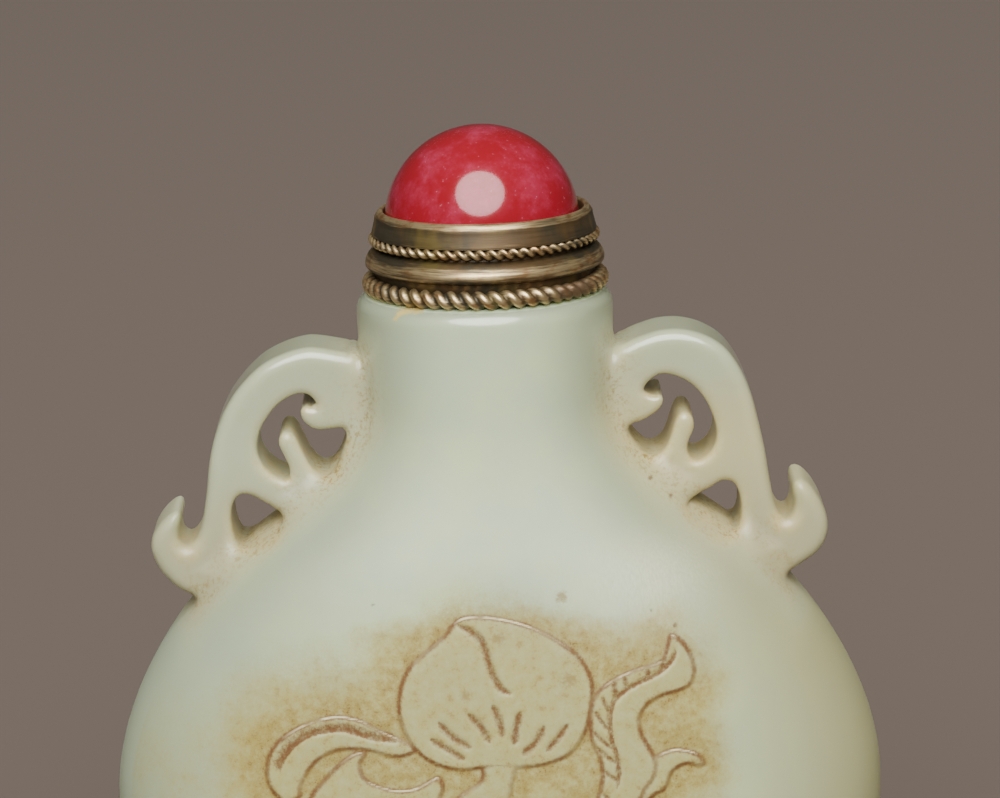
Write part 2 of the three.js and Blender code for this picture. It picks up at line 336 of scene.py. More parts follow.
GROUND_DEPTH = 0.09  # how far the ground is cut back beside the motif
GROUND_REACH = 2.4  # and how far from the motif it rises again
EDGE = 0.1  # half the width of the slope at every outline
EDGE_HEIGHT = 0.005  # how far a leaf stands above the plain skin at its edge
CROWN_HEIGHT = 0.02  # and how much further it swells behind that
CROWN_REACH = 0.8
TUCK_DEPTH = 0.04  # how far a leaf dips beside the one that lies over it
TUCK_REACH = 0.3
LINE_CUT = 1.4  # how much deeper the engraved lines are cut than they are listed
STEP_WIDTH = 0.08  # the steep side of a fold
FOLD_END = 0.12  # the share of a fold in which it runs out at each end
FAR = 99.0  # stands for no outline near
FAR_OFF = 9.0  # stands for no line or fold near


def smooth_line(points, closed=False, steps=8):
    """A smooth curve through the points, in even steps between each pair."""
    points = np.array(points, float)
    count = len(points)
    line = []
    for k in range(count if closed else count - 1):
        if closed:
            a, b, c, d = (points[(k + step) % count] for step in (-1, 0, 1, 2))
        else:
            a, b, c, d = (points[min(max(k + step, 0), count - 1)] for step in (-1, 0, 1, 2))
        for t in np.arange(steps) / steps:
            line.append(0.5 * (2 * b + (c - a) * t + (2 * a - 5 * b + 4 * c - d) * t * t
                               + (3 * b - a - 3 * c + d) * t ** 3))
    line.append(points[0] if closed else points[-1])
    return np.array(line)


def distance_to(line, spots):
    """From each spot: the distance to the line, how far along it is from 0 to 1, and the
    side of the line, which is 1 on the left of its direction."""
    best = np.full(len(spots), 1e9)
    along = np.zeros(len(spots))
    hand = np.ones(len(spots))
    count = len(line) - 1
    for k in range(count):
        a, step = line[k], line[k + 1] - line[k]
        away = spots - a
        t = np.clip(away @ step / max(step @ step, 1e-12), 0, 1)
        gap = np.hypot(*(away - t[:, None] * step).T)
        closer = gap < best
        best = np.where(closer, gap, best)
        along = np.where(closer, (k + t) / count, along)
        hand = np.where(closer, np.sign(step[0] * away[:, 1] - step[1] * away[:, 0]), hand)
    return best, along, hand


def depth_inside(outline, spots):
    """The distance from each spot to a closed outline, negative outside it."""
    gap = distance_to(outline, spots)[0]
    within = np.zeros(len(spots), bool)
    x, z = spots.T
    for a, b in zip(outline, outline[1:]):
        crosses = (a[1] > z) != (b[1] > z)
        rise = b[1] - a[1] if b[1] != a[1] else 1e-12
        within ^= crosses & (x < (b[0] - a[0]) * (z - a[1]) / rise + a[0])
    return np.where(within, gap, -gap)


def raster(field, low, high, pitch=0.08):
    """Works a field out on a fine grid once, and returns a function that reads it there."""
    across = np.arange(low[0], high[0] + pitch, pitch)
    up = np.arange(low[1], high[1] + pitch, pitch)
    spots = np.stack(np.meshgrid(across, up, indexing="ij"), -1)
    table = np.array(field(spots.reshape(-1, 2))).reshape(-1, *spots.shape[:2])

    def read(spots):
        x = np.clip((spots[:, 0] - low[0]) / pitch, 0, len(across) - 1.001)
        y = np.clip((spots[:, 1] - low[1]) / pitch, 0, len(up) - 1.001)
        i, j = x.astype(int), y.astype(int)
        x, y = x - i, y - j
        return (table[:, i, j] * (1 - x) * (1 - y) + table[:, i + 1, j] * x * (1 - y)
                + table[:, i, j + 1] * (1 - x) * y + table[:, i + 1, j + 1] * x * y)

    return read


def strip(middle, half_width, tapered=True):
    """The closed outline of a leaf or a branch along its middle line."""
    line = smooth_line(middle)
    along = np.gradient(line, axis=0)
    along /= np.hypot(*along.T)[:, None]
    across = np.stack([-along[:, 1], along[:, 0]], 1)
    t = np.linspace(0, 1, len(line))[:, None]
    width = half_width * (np.sin(np.pi * t) ** 0.7 + 0.03 if tapered else np.ones_like(t))
    left, right = line + across * width, line - across * width
    return np.concatenate([left, right[::-1], left[:1]])


peach = smooth_line([
    (-2.6, 40.25), (-1.7, 40.65), (0.1, 40.55), (2.2, 39.95), (4, 38.95), (5.4, 37.75), (6.1, 36.2),
    (6, 34.6), (5.6, 33), (4.6, 31.6), (3, 30.95), (1, 30.8), (-0.9, 30.85), (-2.6, 30.75),
    (-4.4, 31.35), (-5.6, 32.6), (-6.25, 34.3), (-6.15, 36), (-5.5, 37.5), (-4.3, 38.6), (-3.2, 39.5),
], closed=True)
left_leaf = smooth_line([
    (-5.6, 32.4), (-7.6, 33.35), (-8.9, 34.05), (-10.4, 34.25), (-12, 33.85), (-13.7, 32.9),
    (-14.7, 31.8), (-15, 30.4), (-14.7, 29.3), (-13.9, 28.6), (-13, 28.9), (-12.9, 29.6),
    (-12.4, 30.6), (-11.7, 31.4), (-10.7, 32), (-9.5, 32.2), (-8.2, 32.1), (-6.8, 31.7), (-5.6, 31.9),
], closed=True)
lower_left_leaf = smooth_line([
    (-8.6, 31.9), (-8.95, 31.2), (-8.9, 30.6), (-8.6, 30.1), (-8.1, 29.8), (-7.3, 29.5), (-6.4, 29.35),
    (-5.4, 29.5), (-4.6, 29.9), (-4, 30.2), (-3.7, 29.9), (-3.7, 29.3), (-4.2, 28.4), (-5.4, 27),
    (-7.6, 26), (-10, 25), (-11.8, 24.6), (-12.6, 26), (-12.5, 28), (-12, 29.2), (-11.3, 30),
    (-10.6, 30.8), (-9.9, 31.4), (-9.2, 31.85),
], closed=True)
tall_leaf = smooth_line([
    (7.7, 36.3), (8.5, 36.62), (9.3, 36.85), (10.3, 37.05), (10.8, 37.3), (11.05, 38), (11.3, 38.75),
    (11.8, 38.5), (12.35, 37.8), (12.7, 36.8), (12.7, 36.1), (12.35, 35.5), (11.5, 35.2), (10.7, 35.05),
    (9.9, 34.7), (9.4, 34.25), (9.1, 33.6), (9.15, 32.7), (9.55, 31.9), (9.95, 31.1), (10.1, 30.4),
    (9.9, 29.6), (9.4, 29), (8.6, 27.6), (7.2, 27), (6.3, 28), (6.55, 29.2), (6.68, 30.2), (6.5, 31.2),
    (6.2, 31.9), (6, 32.7), (6, 34), (6.2, 35), (6.8, 35.75),
], closed=True)
lower_right_leaf = smooth_line([
    (9.3, 29.4), (10.1, 30.85), (10.65, 31.2), (11.4, 31.35), (12.2, 31.2), (12.85, 30.9), (13.25, 30.3),
    (12.9, 30.2), (12.2, 30.4), (11.55, 30.25), (11.05, 29.85), (10.8, 29.2), (10.5, 28.75),
    (9.8, 28.4), (8.6, 27.2), (8, 26.8), (7.9, 27.6),
], closed=True)
stalk = smooth_line([
    (-0.95, 30.9), (-1.05, 30.2), (-1.5, 29.6), (-2.6, 28.9), (-3, 28), (-1.6, 27.2), (-0.2, 27.4),
    (0.5, 28.6), (0.8, 29.8), (1, 30.9), (0, 31.1),
], closed=True)
branch = strip([(-11, 24.6), (-8.6, 24.2), (-5.5, 25.4), (-3.4, 26.4), (-1.2, 27.4), (1.4, 26.2),
                (4, 26.4), (7, 27.4), (9.5, 27.2)], 0.75, tapered=False)
hanging_leaves = [
    strip([(-2, 25.9), (-0.4, 24.2), (0.3, 21.6), (-0.6, 17)], 1.9),
    strip([(-6.4, 24.6), (-6.6, 22.4), (-7.6, 20), (-10.6, 17)], 1.9),
    strip([(5.2, 25.9), (7.4, 24.4), (9.4, 22), (11.6, 17.4)], 2.0),
]
# From the lowest to the highest. The peach and its stalk are carved as one.
motifs = [
    [branch], *([leaf] for leaf in hanging_leaves), [lower_left_leaf], [lower_right_leaf],
    [left_leaf], [tall_leaf], [peach, stalk]]

# Engraved lines: points, width and depth.
peach_lines = [
    ([(-2.3, 40.2), (-1.5, 39.75), (-0.9, 39.2), (-0.6, 38.4), (-0.45, 37.7), (-0.15, 36.8),
      (0.28, 36.05), (0.85, 35.7)], 0.24, 0.09),
    ([(-4.3, 32.8), (-3.3, 32.15), (-2.2, 31.45)], 0.2, 0.07),
    ([(-3.75, 33.9), (-3, 33), (-1.8, 32.2)], 0.22, 0.07),
    ([(-1.85, 34.4), (-1.05, 33.5), (-0.55, 32.55)], 0.22, 0.07),
    ([(-0.25, 34.9), (0.12, 33.9), (0.28, 32.9)], 0.24, 0.07),
    ([(1.45, 34.4), (1.2, 33.4), (1, 32.35)], 0.24, 0.07),
    ([(2.95, 33.4), (2.4, 32.4), (1.55, 31.65)], 0.22, 0.07),
    ([(4.5, 33.5), (3.9, 32.7), (3.1, 31.8)], 0.2, 0.07),
]
leaf_lines = [
    ([(7.45, 36.2), (7.6, 35.6), (7.6, 34.8)], 0.2, 0.06),
    ([(8.25, 36.4), (8.3, 35.8)], 0.18, 0.05),
    ([(9.65, 36.8), (9.85, 36.3)], 0.18, 0.05),
    ([(10.7, 37.1), (10.7, 36.6)], 0.26, 0.06),
    ([(6.75, 35.2), (7, 34.6), (7.3, 34)], 0.14, 0.06),
    ([(6.25, 34.3), (6.65, 33.6), (7.15, 33)], 0.14, 0.06),
    ([(6.1, 33), (6.6, 32.4), (7.3, 31.75)], 0.14, 0.06),
    ([(6.3, 31.9), (6.9, 31.3), (7.65, 30.7)], 0.14, 0.06),
    ([(6.75, 30.3), (7.2, 29.9), (7.7, 29.6)], 0.14, 0.06),
    ([(6.6, 28.8), (7.1, 28.3)], 0.14, 0.06),
]
# Folds are cut on one side only: a slope down from the left of the line, and a step.
folds = [
    ([(-14.2, 30), (-14, 31), (-13.3, 32.05), (-12.3, 32.85), (-11.3, 33.2), (-10, 33.35),
      (-8.7, 33), (-7.8, 32.75), (-7, 32.7), (-6, 32.5)], 0.55, 0.1),
    ([(7.2, 28.6), (7.65, 29.2), (7.8, 30.2), (7.7, 31.3), (7.4, 32.3), (7.3, 33.6), (7.5, 34.6),
      (7.85, 35.1), (8.4, 35.5), (9.2, 35.9), (10, 36.2), (10.85, 36.65), (11.4, 37.2), (11.6, 37.8),
      (11.3, 38.6)], 0.26, 0.1),
    ([(-11.4, 26), (-9.4, 27.6), (-7, 28), (-4.6, 28.2)], 0.4, 0.1),
    ([(-0.6, 18), (0.1, 21.6), (-0.6, 24)], 0.4, 0.1),
    ([(-10, 18), (-7.7, 20.4), (-6.7, 22.6)], 0.4, 0.1),
    ([(11, 18.6), (9.1, 22), (7, 24.2)], 0.4, 0.1),
]
engraved, folded = (
    [(smooth_line(points), width, depth) for points, width, depth in lines]
    for lines in (peach_lines + leaf_lines, folds))


def carve(spots):
    """The height above the plain skin, and the distances to the motif (negative on it), the
    nearest outline, engraved line and fold, and its step. They are in millimetres, but to
    an engraved line or a fold they are shares of its width."""
    motif = np.full(len(spots), FAR)
    outline = np.full(len(spots), FAR)
    lift = np.zeros(len(spots))
    for shapes in motifs:
        inside = np.max([depth_inside(shape, spots) for shape in shapes], axis=0)
        edge = smooth_step(-EDGE, EDGE, inside)
        crown = EDGE_HEIGHT + CROWN_HEIGHT * (1 - np.exp(-np.clip(inside, 0, None) / CROWN_REACH))
        tucked = TUCK_DEPTH * np.exp(-(np.clip(-inside, 0, None) / TUCK_REACH) ** 2)
        lift = (lift - tucked * (motif < 0)) * (1 - edge) + crown * edge
        outline = np.where(inside > 0, inside, np.minimum(outline, -inside))
        motif = np.minimum(motif, -inside)
    ground = np.exp(-(np.clip(motif, 0, None) / GROUND_REACH) ** 1.3)
    height = lift - GROUND_DEPTH * ground * smooth_step(-EDGE, EDGE, motif)
    line_gap = np.full(len(spots), FAR_OFF)
    for line, width, depth in engraved:
        gap, along, _ = distance_to(line, spots)
        taper = 0.45 + 0.55 * np.clip(np.sin(np.pi * along) * 2.2, 0, 1)
        height -= LINE_CUT * depth * np.exp(-(gap / (width * taper)) ** 2)
        line_gap = np.minimum(line_gap, gap / (width * taper))
    fold_gap = np.full(len(spots), FAR_OFF)
    step_gap = np.full(len(spots), FAR_OFF)
    for line, width, depth in folded:
        gap, along, hand = distance_to(line, spots)
        ends = smooth_step(0, FOLD_END, along) * smooth_step(0, FOLD_END, 1 - along)
        share = gap / np.where(hand > 0, width, STEP_WIDTH)
        height -= depth * np.exp(-share ** 2) * ends
        fold_gap = np.minimum(fold_gap, share + 2 * (1 - ends))
        step_gap = np.minimum(step_gap, gap + 2 * (1 - ends) + 0.3 * (hand > 0))
    return height, motif, outline, line_gap, fold_gap, step_gap


field_side = (FIELD_HALF_WIDTH + SIDE_MARGIN) / MM
field_low = (FIELD_LOW - FIELD_MARGIN) / MM
field_high = (FIELD_HIGH + FIELD_MARGIN) / MM
carving = raster(carve, (-field_side, field_low), (field_side, field_high))
body = turned_oval(outside, ROUND_STEPS)


def between(value, low, high):
    return low < value < high


def in_field(point):
    in_height = between(point.z, FIELD_LOW, FIELD_HIGH)
    return point.y < 0 and abs(point.x) < FIELD_HALF_WIDTH and in_height


def at_handle(point):
    return abs(point.y) < JOINT_HALF_DEPTH and between(point.z, JOINT_LOW, JOINT_HIGH)


def refine(shape, wanted, cuts):
    """Cuts every face whose middle is wanted into smaller ones on the smooth skin."""
    faces = [face for face in shape.faces if wanted(face.calc_center_median())]
    edges = list({edge for face in faces for edge in face.edges})
    made = bmesh.ops.subdivide_edges(shape, edges=edges, cuts=cuts, use_grid_fill=True)
    press_to_skin([v for v in made["geom_inner"] if isinstance(v, bmesh.types.BMVert)])


refine(body, in_field, 4)
refine(body, at_handle, 2)
body.normal_update()
carved = [
    v for v in body.verts
    if v.co.y < 0 and between(v.co.z, FIELD_LOW - FIELD_MARGIN, FIELD_HIGH + FIELD_MARGIN)]
spots = np.array([(v.co.x, v.co.z) for v in carved]) / MM
for vertex, height in zip(carved, carving(spots)[0]):
    vertex.co += vertex.normal * height * MM
bottle = new_piece("carved_bottle", body)


# --------------------------------------------------------------------------------------
# The handles. Each was pierced and rounded by hand, so the two differ a little.
# Points are millimetres from the middle and up, the last four of an edge in the body.

HANDLE_THICKNESS = 5.7 * MM
VOXEL = 0.24 * MM  # how finely the handles are worked
# In millimetres: how far in the rounding of each edge starts, and how far each joint with
# the body is blended.
OUTER_EDGE = 0.85
HOLE_EDGE = 0.5
TIGHT_JOINT = 0.8
BROAD_JOINT = 2.6
# In millimetres across and up: the field round a handle, and the middle of the notch
# between each handle's hook and the body.
HANDLE_FIELD = (5, 36), (24, 60)
RIGHT_NOTCH = (19.2, 44.4)
LEFT_NOTCH = (20, 43.7)
# The skin that may move: its ranges across and up, how far it reaches to the front and the
# back, and how far from the bottle's axis it starts. The lip stays.
BLEND_ACROSS = (6.6 * MM, 24 * MM)
BLEND_UP = (38 * MM, 58.3 * MM)
BLEND_HALF_DEPTH = 7.5 * MM
BLEND_FROM_AXIS = 7.5 * MM
right_handle = (
    [(8.3, 55.8), (9.2, 56.5), (10.3, 56.95), (11.5, 57.25), (12.8, 57.25), (14.2, 56.85), (15.5, 56),
     (16.5, 54.6), (17.2, 52.9), (17.65, 51), (18.05, 49), (18.3, 47.2), (18.65, 45.4), (19.15, 44.5),
     (19.65, 44.6), (19.9, 45.4), (19.8, 46.3), (19.95, 46.85), (20.4, 46.95), (21, 46.5), (21.6, 45.6),
     (22, 44.6), (22.1, 43.6), (21.85, 42.7), (21.2, 41.9), (20.3, 41.3), (19.4, 40.75), (18, 40),
     (16, 39.8), (12, 42), (7, 46), (6.2, 52)],
    [(10.2, 53.35), (10.55, 53.95), (11.4, 54.4), (12.5, 54.15), (13.5, 53.5), (14.3, 52.4), (14.8, 51),
     (14.85, 50), (14.5, 49.15), (13.8, 48.6), (13.2, 48.7), (12.95, 49.35), (13.1, 50), (13.4, 50.7),
     (13.35, 51.4), (12.9, 51.8), (12.4, 51.6), (12.05, 50.8), (11.75, 49.9), (11.35, 49.25),
     (10.7, 48.95), (10.15, 49.2), (9.5, 49.95), (9.1, 50.75), (9.4, 51.15), (10.05, 51.35),
     (10.7, 51.7), (11.2, 52.1), (11.45, 52.6), (11.3, 53), (10.8, 53)],
    [(12.9, 45.75), (13.6, 46.3), (14.4, 46.7), (15.2, 47.15), (15.9, 47), (16.3, 46.2), (16.4, 45.1),
     (16.2, 44.1), (15.6, 43.8), (14.8, 44), (14, 44.5), (13.3, 45)],
)
left_handle = (
    [(8.3, 55.9), (9, 56.35), (9.8, 56.55), (10.8, 56.75), (11.8, 56.8), (13.2, 56.45), (14.7, 55.7),
     (16.1, 54.4), (17.15, 52.9), (17.9, 51.1), (18.35, 49.3), (18.6, 47.4), (18.95, 45.5), (19.35, 44.4),
     (19.95, 43.8), (20.45, 44.1), (20.55, 44.8), (20.4, 45.6), (20.5, 46.05), (20.9, 46.05),
     (21.5, 45.6), (22, 45), (22.35, 44.3), (22.4, 43.5), (22.1, 42.6), (21.6, 41.8), (20.8, 41),
     (19.8, 40.45), (18.4, 39.9), (16, 39.8), (12, 42), (7, 46), (6.2, 52)],
    [(11.15, 53.1), (11.6, 53.7), (12.3, 53.85), (13.2, 53.5), (14, 52.85), (14.8, 51.7), (15.15, 50.5),
     (15, 49.5), (14.4, 48.65), (13.7, 48.2), (13.15, 48.2), (13.1, 48.9), (13.4, 49.7), (13.7, 50.4),
     (13.65, 51), (13.2, 51.3), (12.7, 51), (12.3, 50.2), (11.8, 49.1), (11.2, 48.45), (10.6, 48.35),
     (10, 48.9), (9.6, 49.8), (9.3, 50.8), (9.5, 51.45), (10.3, 51.45), (11.1, 51.4), (11.75, 51.7),
     (12.15, 52.2), (12.2, 52.75), (11.8, 53), (11.35, 52.85)],
    [(13.7, 45.7), (14.3, 46.3), (15, 46.75), (15.7, 47.15), (16.4, 47.2), (16.9, 46.6), (17.05, 45.6),
     (16.9, 44.5), (16.5, 43.75), (15.8, 43.8), (15, 44.2), (14.2, 44.75)],
)


def handle(name, lines, hand):
    """Fills an outline round its holes and thickens it into a slab of small even faces."""
    shape = bmesh.new()
    edges = []
    for line in lines:
        points = smooth_line(line, closed=True, steps=6)[:-1]
        loop = [shape.verts.new((hand * x * MM, -HANDLE_THICKNESS / 2, z * MM)) for x, z in points]
        edges += [shape.edges.new(pair) for pair in zip(loop, loop[1:] + loop[:1])]
    bmesh.ops.triangle_fill(shape, use_beauty=True, edges=edges)
    grown = bmesh.ops.extrude_face_region(shape, geom=shape.faces[:])["geom"]
    far_side = [v for v in grown if isinstance(v, bmesh.types.BMVert)]
    bmesh.ops.translate(shape, vec=(0, HANDLE_THICKNESS, 0), verts=far_side)
    bmesh.ops.recalc_face_normals(shape, faces=shape.faces)
    piece = new_piece(name, shape)
    even = piece.modifiers.new("even", "REMESH")
    even.mode = "VOXEL"
    even.voxel_size = VOXEL
    return piece


def soft_max(a, b, blend):
    """The larger of two distances, with the corner between them rounded."""
    near = np.clip(blend - abs(a - b), 0, None) / blend
    return np.maximum(a, b) + near * near * blend / 4


def skin_gap(places):
    """How far each place, in millimetres, is outside the plain body."""
    x, y, z = places.T * MM
    far = reach(
        np.interp(z, side[:, 2], side[:, 0]), np.interp(z, side[:, 2], side[:, 1]),
        squareness(z), np.arctan2(y, x))
    slope = np.interp(z, side[:, 2], np.gradient(side[:, 0], side[:, 2]))
    return (np.hypot(x, y) - far) / np.sqrt(1 + slope ** 2) / MM


def handle_gap(places, depths):
    """How far each place is outside a handle whose edges are rounded, before it is pierced,
    how deep it is inside the outline, and how deep inside a hole."""
    edge, *holes = depths(np.stack([abs(places[:, 0]), places[:, 2]], 1))
    gap = soft_max(-edge, abs(places[:, 1]) - HANDLE_THICKNESS / 2 / MM, OUTER_EDGE)
    return gap, edge, np.max(holes, axis=0)


def carved_gap(places, depths):
    """How far each place is outside the handle and the body, blended into each other."""
    gap, edge, pierced = handle_gap(places, depths)
    skin = skin_gap(places)
    broad = smooth_step(-0.3, 2.8, np.minimum(edge, 1.2 - pierced))
    broad *= smooth_step(53, 46.5, places[:, 2])
    gap = -soft_max(-skin, -gap, TIGHT_JOINT + (BROAD_JOINT - TIGHT_JOINT) * broad)
    return soft_max(gap, np.minimum(pierced, skin - 0.1), HOLE_EDGE)


def settle(places, depths, rounds=4):
    """Moves places near a handle onto the blended surface."""
    step = 0.08
    for _ in range(rounds):
        here = carved_gap(places, depths)
        slope = np.stack([
            (carved_gap(places + step * axis, depths) - carved_gap(places - step * axis, depths))
            / (2 * step) for axis in np.eye(3)], 1)
        move = -here / np.maximum((slope ** 2).sum(1), 0.3)
        places = places + slope * np.clip(move, -0.5, 0.5)[:, None]
    return places


def hollow():
    """The inside: a wide chamber that narrows to a straight bore through the neck."""
    chamber = smooth_line([
        (5, 6), (14.5, 10.5), (20.2, 18), (21.4, 27), (19.4, 34.5), (14.2, 40), (8.4, 44.5),
        (4.8, 48), (3.4, 51.5)], steps=4)
    depth_at = smooth_line([
        (2.8, 6), (6, 10.5), (7.6, 18), (7.9, 27), (7.6, 34.5), (6.8, 40), (5.6, 44.5), (4.4, 48),
        (3.4, 51.5)], steps=4)
    above = LIP_HEIGHT + 1 * MM
    rings = [(wide * MM, deep * MM, high * MM)
             for (wide, high), (deep, _) in zip(chamber, depth_at)]
    inside = [
        (0, 0, HOLLOW_FLOOR), *rings, (BORE_RADIUS, BORE_RADIUS, above), (0, 0, above)]
    return new_piece("hollow", turned_oval(inside, HOLLOW_STEPS))


def combine(piece, other, operation):
    step = piece.modifiers.new(operation.lower(), "BOOLEAN")
    step.object = other
    step.operation = operation
    step.solver = "MANIFOLD"


tools = {
    handle("handle_right", right_handle, 1): "UNION",
    handle("handle_left", left_handle, -1): "UNION",
    hollow(): "DIFFERENCE"}
for tool, operation in tools.items():
    combine(bottle, tool, operation)
bpy.context.view_layer.update()
cut = bpy.data.meshes.new_from_object(bottle.evaluated_get(bpy.context.evaluated_depsgraph_get()))
bottle.modifiers.clear()
bottle.data = cut
for tool in tools:
    bpy.data.objects.remove(tool)

# The handles are rounded, and blended into the body, by moving the skin around them.
merged = bmesh.new()
merged.from_mesh(cut)
bmesh.ops.remove_doubles(merged, verts=merged.verts, dist=0.01 * MM)
handle_depths = {}
for hand, lines in ((1, right_handle), (-1, left_handle)):
    outlines = [smooth_line(line, closed=True, steps=5) for line in lines]
    depths = raster(
        lambda spots: [depth_inside(line, spots) for line in outlines], *HANDLE_FIELD)
    handle_depths[hand] = depths
    moved = [v for v in merged.verts
             if between(hand * v.co.x, *BLEND_ACROSS) and between(v.co.z, *BLEND_UP)
             and abs(v.co.y) < BLEND_HALF_DEPTH
             and (v.co.x ** 2 + v.co.y ** 2) ** 0.5 > BLEND_FROM_AXIS]
    places = np.array([v.co for v in moved]) / MM
    outer = (skin_gap(places) > -1.2) & (handle_gap(places, depths)[0] < 3)
    moved = [v for v, keep in zip(moved, outer) if keep]
    places = places[outer]
    for _ in range(2):
        places = settle(places, depths)
        for vertex, place in zip(moved, places):
            vertex.co = Vector(place) * MM
        bmesh.ops.smooth_vert(
            merged, verts=moved, factor=0.4, use_axis_x=True, use_axis_y=True, use_axis_z=True)
        places = np.array([v.co for v in moved]) / MM
    for vertex, place in zip(moved, settle(places, depths, rounds=2)):
        vertex.co = Vector(place) * MM
merged.to_mesh(cut)
merged.free()
cut.shade_smooth()

# What the material needs to know about each point of the surface is kept on the mesh.
# Distances are in millimetres. First, how the point lies to the carving, and how steeply
# the outline and the fold's step rise there.
places = np.zeros(len(cut.vertices) * 3)
cut.vertices.foreach_get("co", places)
places = places.reshape(-1, 3) / MM
normals = np.zeros(len(cut.vertices) * 3)
cut.vertices.foreach_get("normal", normals)
normals = normals.reshape(-1, 3)
kept = {
    name: np.full(len(places), FAR_OFF) for name in ("motif", "outline", "groove", "fold", "step")}
# Only the front of the body, round the carving.
front = (places[:, 1] < -4) & (places[:, 2] > 8) & (places[:, 2] < 47)
spots = places[front][:, [0, 2]]
for name, field in zip(kept, carving(spots)[1:]):
    kept[name][front] = np.clip(field, -FAR_OFF, FAR_OFF)
RISE_STEP = 0.1
above = carving(spots + (0, RISE_STEP))
below = carving(spots - (0, RISE_STEP))
for name, index, sign in (("top_edge", 1, 1), ("fold_edge", 5, -1)):
    kept[name] = np.zeros(len(places))
    kept[name][front] = sign * (above[index] - below[index]) / (2 * RISE_STEP)
# Then how near it is to a handle and to its joint with the body, and the ochre skin of the
# openings and the notches: dust, heavier on walls that face up, where it is also painted light.
WARM_REACH = 2.2
JOINT_REACH = 1.5
warm = np.zeros(len(places))
joint = np.zeros(len(places))
wall = np.zeros(len(places))
for hand, notch in ((1, RIGHT_NOTCH), (-1, LEFT_NOTCH)):
    near = (hand * places[:, 0] > 3) & (places[:, 2] > 36) & (places[:, 2] < 59)
    near &= abs(places[:, 1]) < 9
    spot = places[near]
    gap, edge, pierced = handle_gap(spot, handle_depths[hand])
    gap = np.maximum(gap, pierced)
    skin = skin_gap(spot)
    from_handle, from_body = np.clip(gap, 0, None), np.clip(skin, 0, None)
    warm[near] = np.exp(-(from_handle / WARM_REACH) ** 2)
    joint[near] = np.exp(-((from_handle ** 2 + from_body ** 2) / JOINT_REACH ** 2))
    # Walls that face up get more of the ochre: partly dust, partly painted light on them.
    facing_up = smooth_step(-0.3, 0.6, normals[near][:, 2])
    in_hole = smooth_step(-0.9, -0.1, pierced) * (0.3 + 0.7 * facing_up)
    from_notch = np.hypot(abs(spot[:, 0]) - notch[0], spot[:, 2] - notch[1])
    wall[near] = np.clip(in_hole + smooth_step(1.6, 0.4, from_notch), 0, 1)
# And the painted shade on skin that faces sideways or up the shoulders, the rubbed place on the
# right shoulder with its painted sheen, the yellow deposit and the fine crack under the rope, and
# what is polished brightest.
RUBBED_MIDDLE = (9.6, 42.2)
RUBBED_REACH = (4.2, 2.4)
level = places[:, 2] * MM
off_centre = abs(places[:, 0]) * MM / np.interp(level, side[:, 2], side[:, 0])
lean = np.interp(level, side[:, 2], -np.gradient(side[:, 1], side[:, 2]))
aside = (smooth_step(0.3, 1.05, off_centre) + 0.75 * lean.clip(0)).clip(0, 1) * (1 - warm)
from_rubbed = (places[:, [0, 2]] - RUBBED_MIDDLE) / RUBBED_REACH
rubbed_place = np.exp(-(from_rubbed ** 2).sum(1)) * (places[:, 1] < 0)
# Lines across and up, and their widths.
crusts = [
    ([(-5.5, 59.7), (-4.8, 59.85), (-4, 59.95)], 0.2), ([(-5.4, 59.8), (-5.8, 59.2)], 0.16),
    ([(-5.8, 59.2), (-6.3, 58.6), (-6.7, 58.05)], 0.07)]
lip_front = (places[:, 1] < 0) & (places[:, 2] > 57)
deposit = np.zeros(len(places))
deposit[lip_front] = np.max([
    1 - distance_to(np.array(line), places[lip_front][:, [0, 2]])[0] / (2.5 * width)
    for line, width in crusts], axis=0).clip(-1, 1)
polished_handle = warm * (1 - 0.6 * joint) * (0.3 + 0.7 * smooth_step(50, 54, places[:, 2]))
polish = np.maximum(polished_handle, smooth_step(57.5, 59, places[:, 2]))
kept.update(
    warm=warm, joint=joint, wall=wall, aside=aside, rubbed_place=rubbed_place, deposit=deposit,
    polish=polish)
for name, values in kept.items():
    on_points = cut.attributes.new(name, "FLOAT", "POINT").data
    on_points.foreach_set("value", values.astype(np.float32))

JADE_PALE = linear("#c6d2a5")
JADE_COOL = linear("#bac9aa")
JADE_SIDE_SHADE = linear("#949e84")
JADE_SIDE_SHADE_WARM = linear("#9a9366")
HANDLE_COOL = linear("#adb294")
HANDLE_WARM = linear("#b7af84")
HANDLE_LOW = linear("#9c9675")
JADE_TAN = linear("#a6923a")
RUSSET = linear("#653a0e")
OCHRE = linear("#c3b07a")
GRIME = linear("#8f783a")
SCRATCHES_AND_SHEEN = linear("#e6e8ce")
PAINTED_GLINT = linear("#e6dcae")
YELLOW_CRUST = linear("#cdb872")
DARK_SPECK = linear("#5d5f45")

MULTIPLY = {"operation": "MULTIPLY"}
ADD = {"operation": "ADD"}
TIMES_PLUS = {"operation": "MULTIPLY_ADD"}
LARGER = {"operation": "MAXIMUM"}
SMOOTH = {"interpolation_type": "SMOOTHSTEP"}
COLOURS = {"data_type": "RGBA"}
MIXED = 2  # the colour that a Mix node gives

# Nephrite, cut and then polished by hand with a fine grit: light sinks a little way into it,
# its wide faces stay satiny, and the crests and the lip shine.
jade, jade_surface = new_material("polished_jade")
place = add_node(jade, "TexCoord", out="Object")
apart = {axis: add_node(jade, "SeparateXYZ", out=axis, Vector=place) for axis in "XYZ"}
known = {name: add_node(jade, "Attribute", {"attribute_name": name}, "Fac") for name in kept}

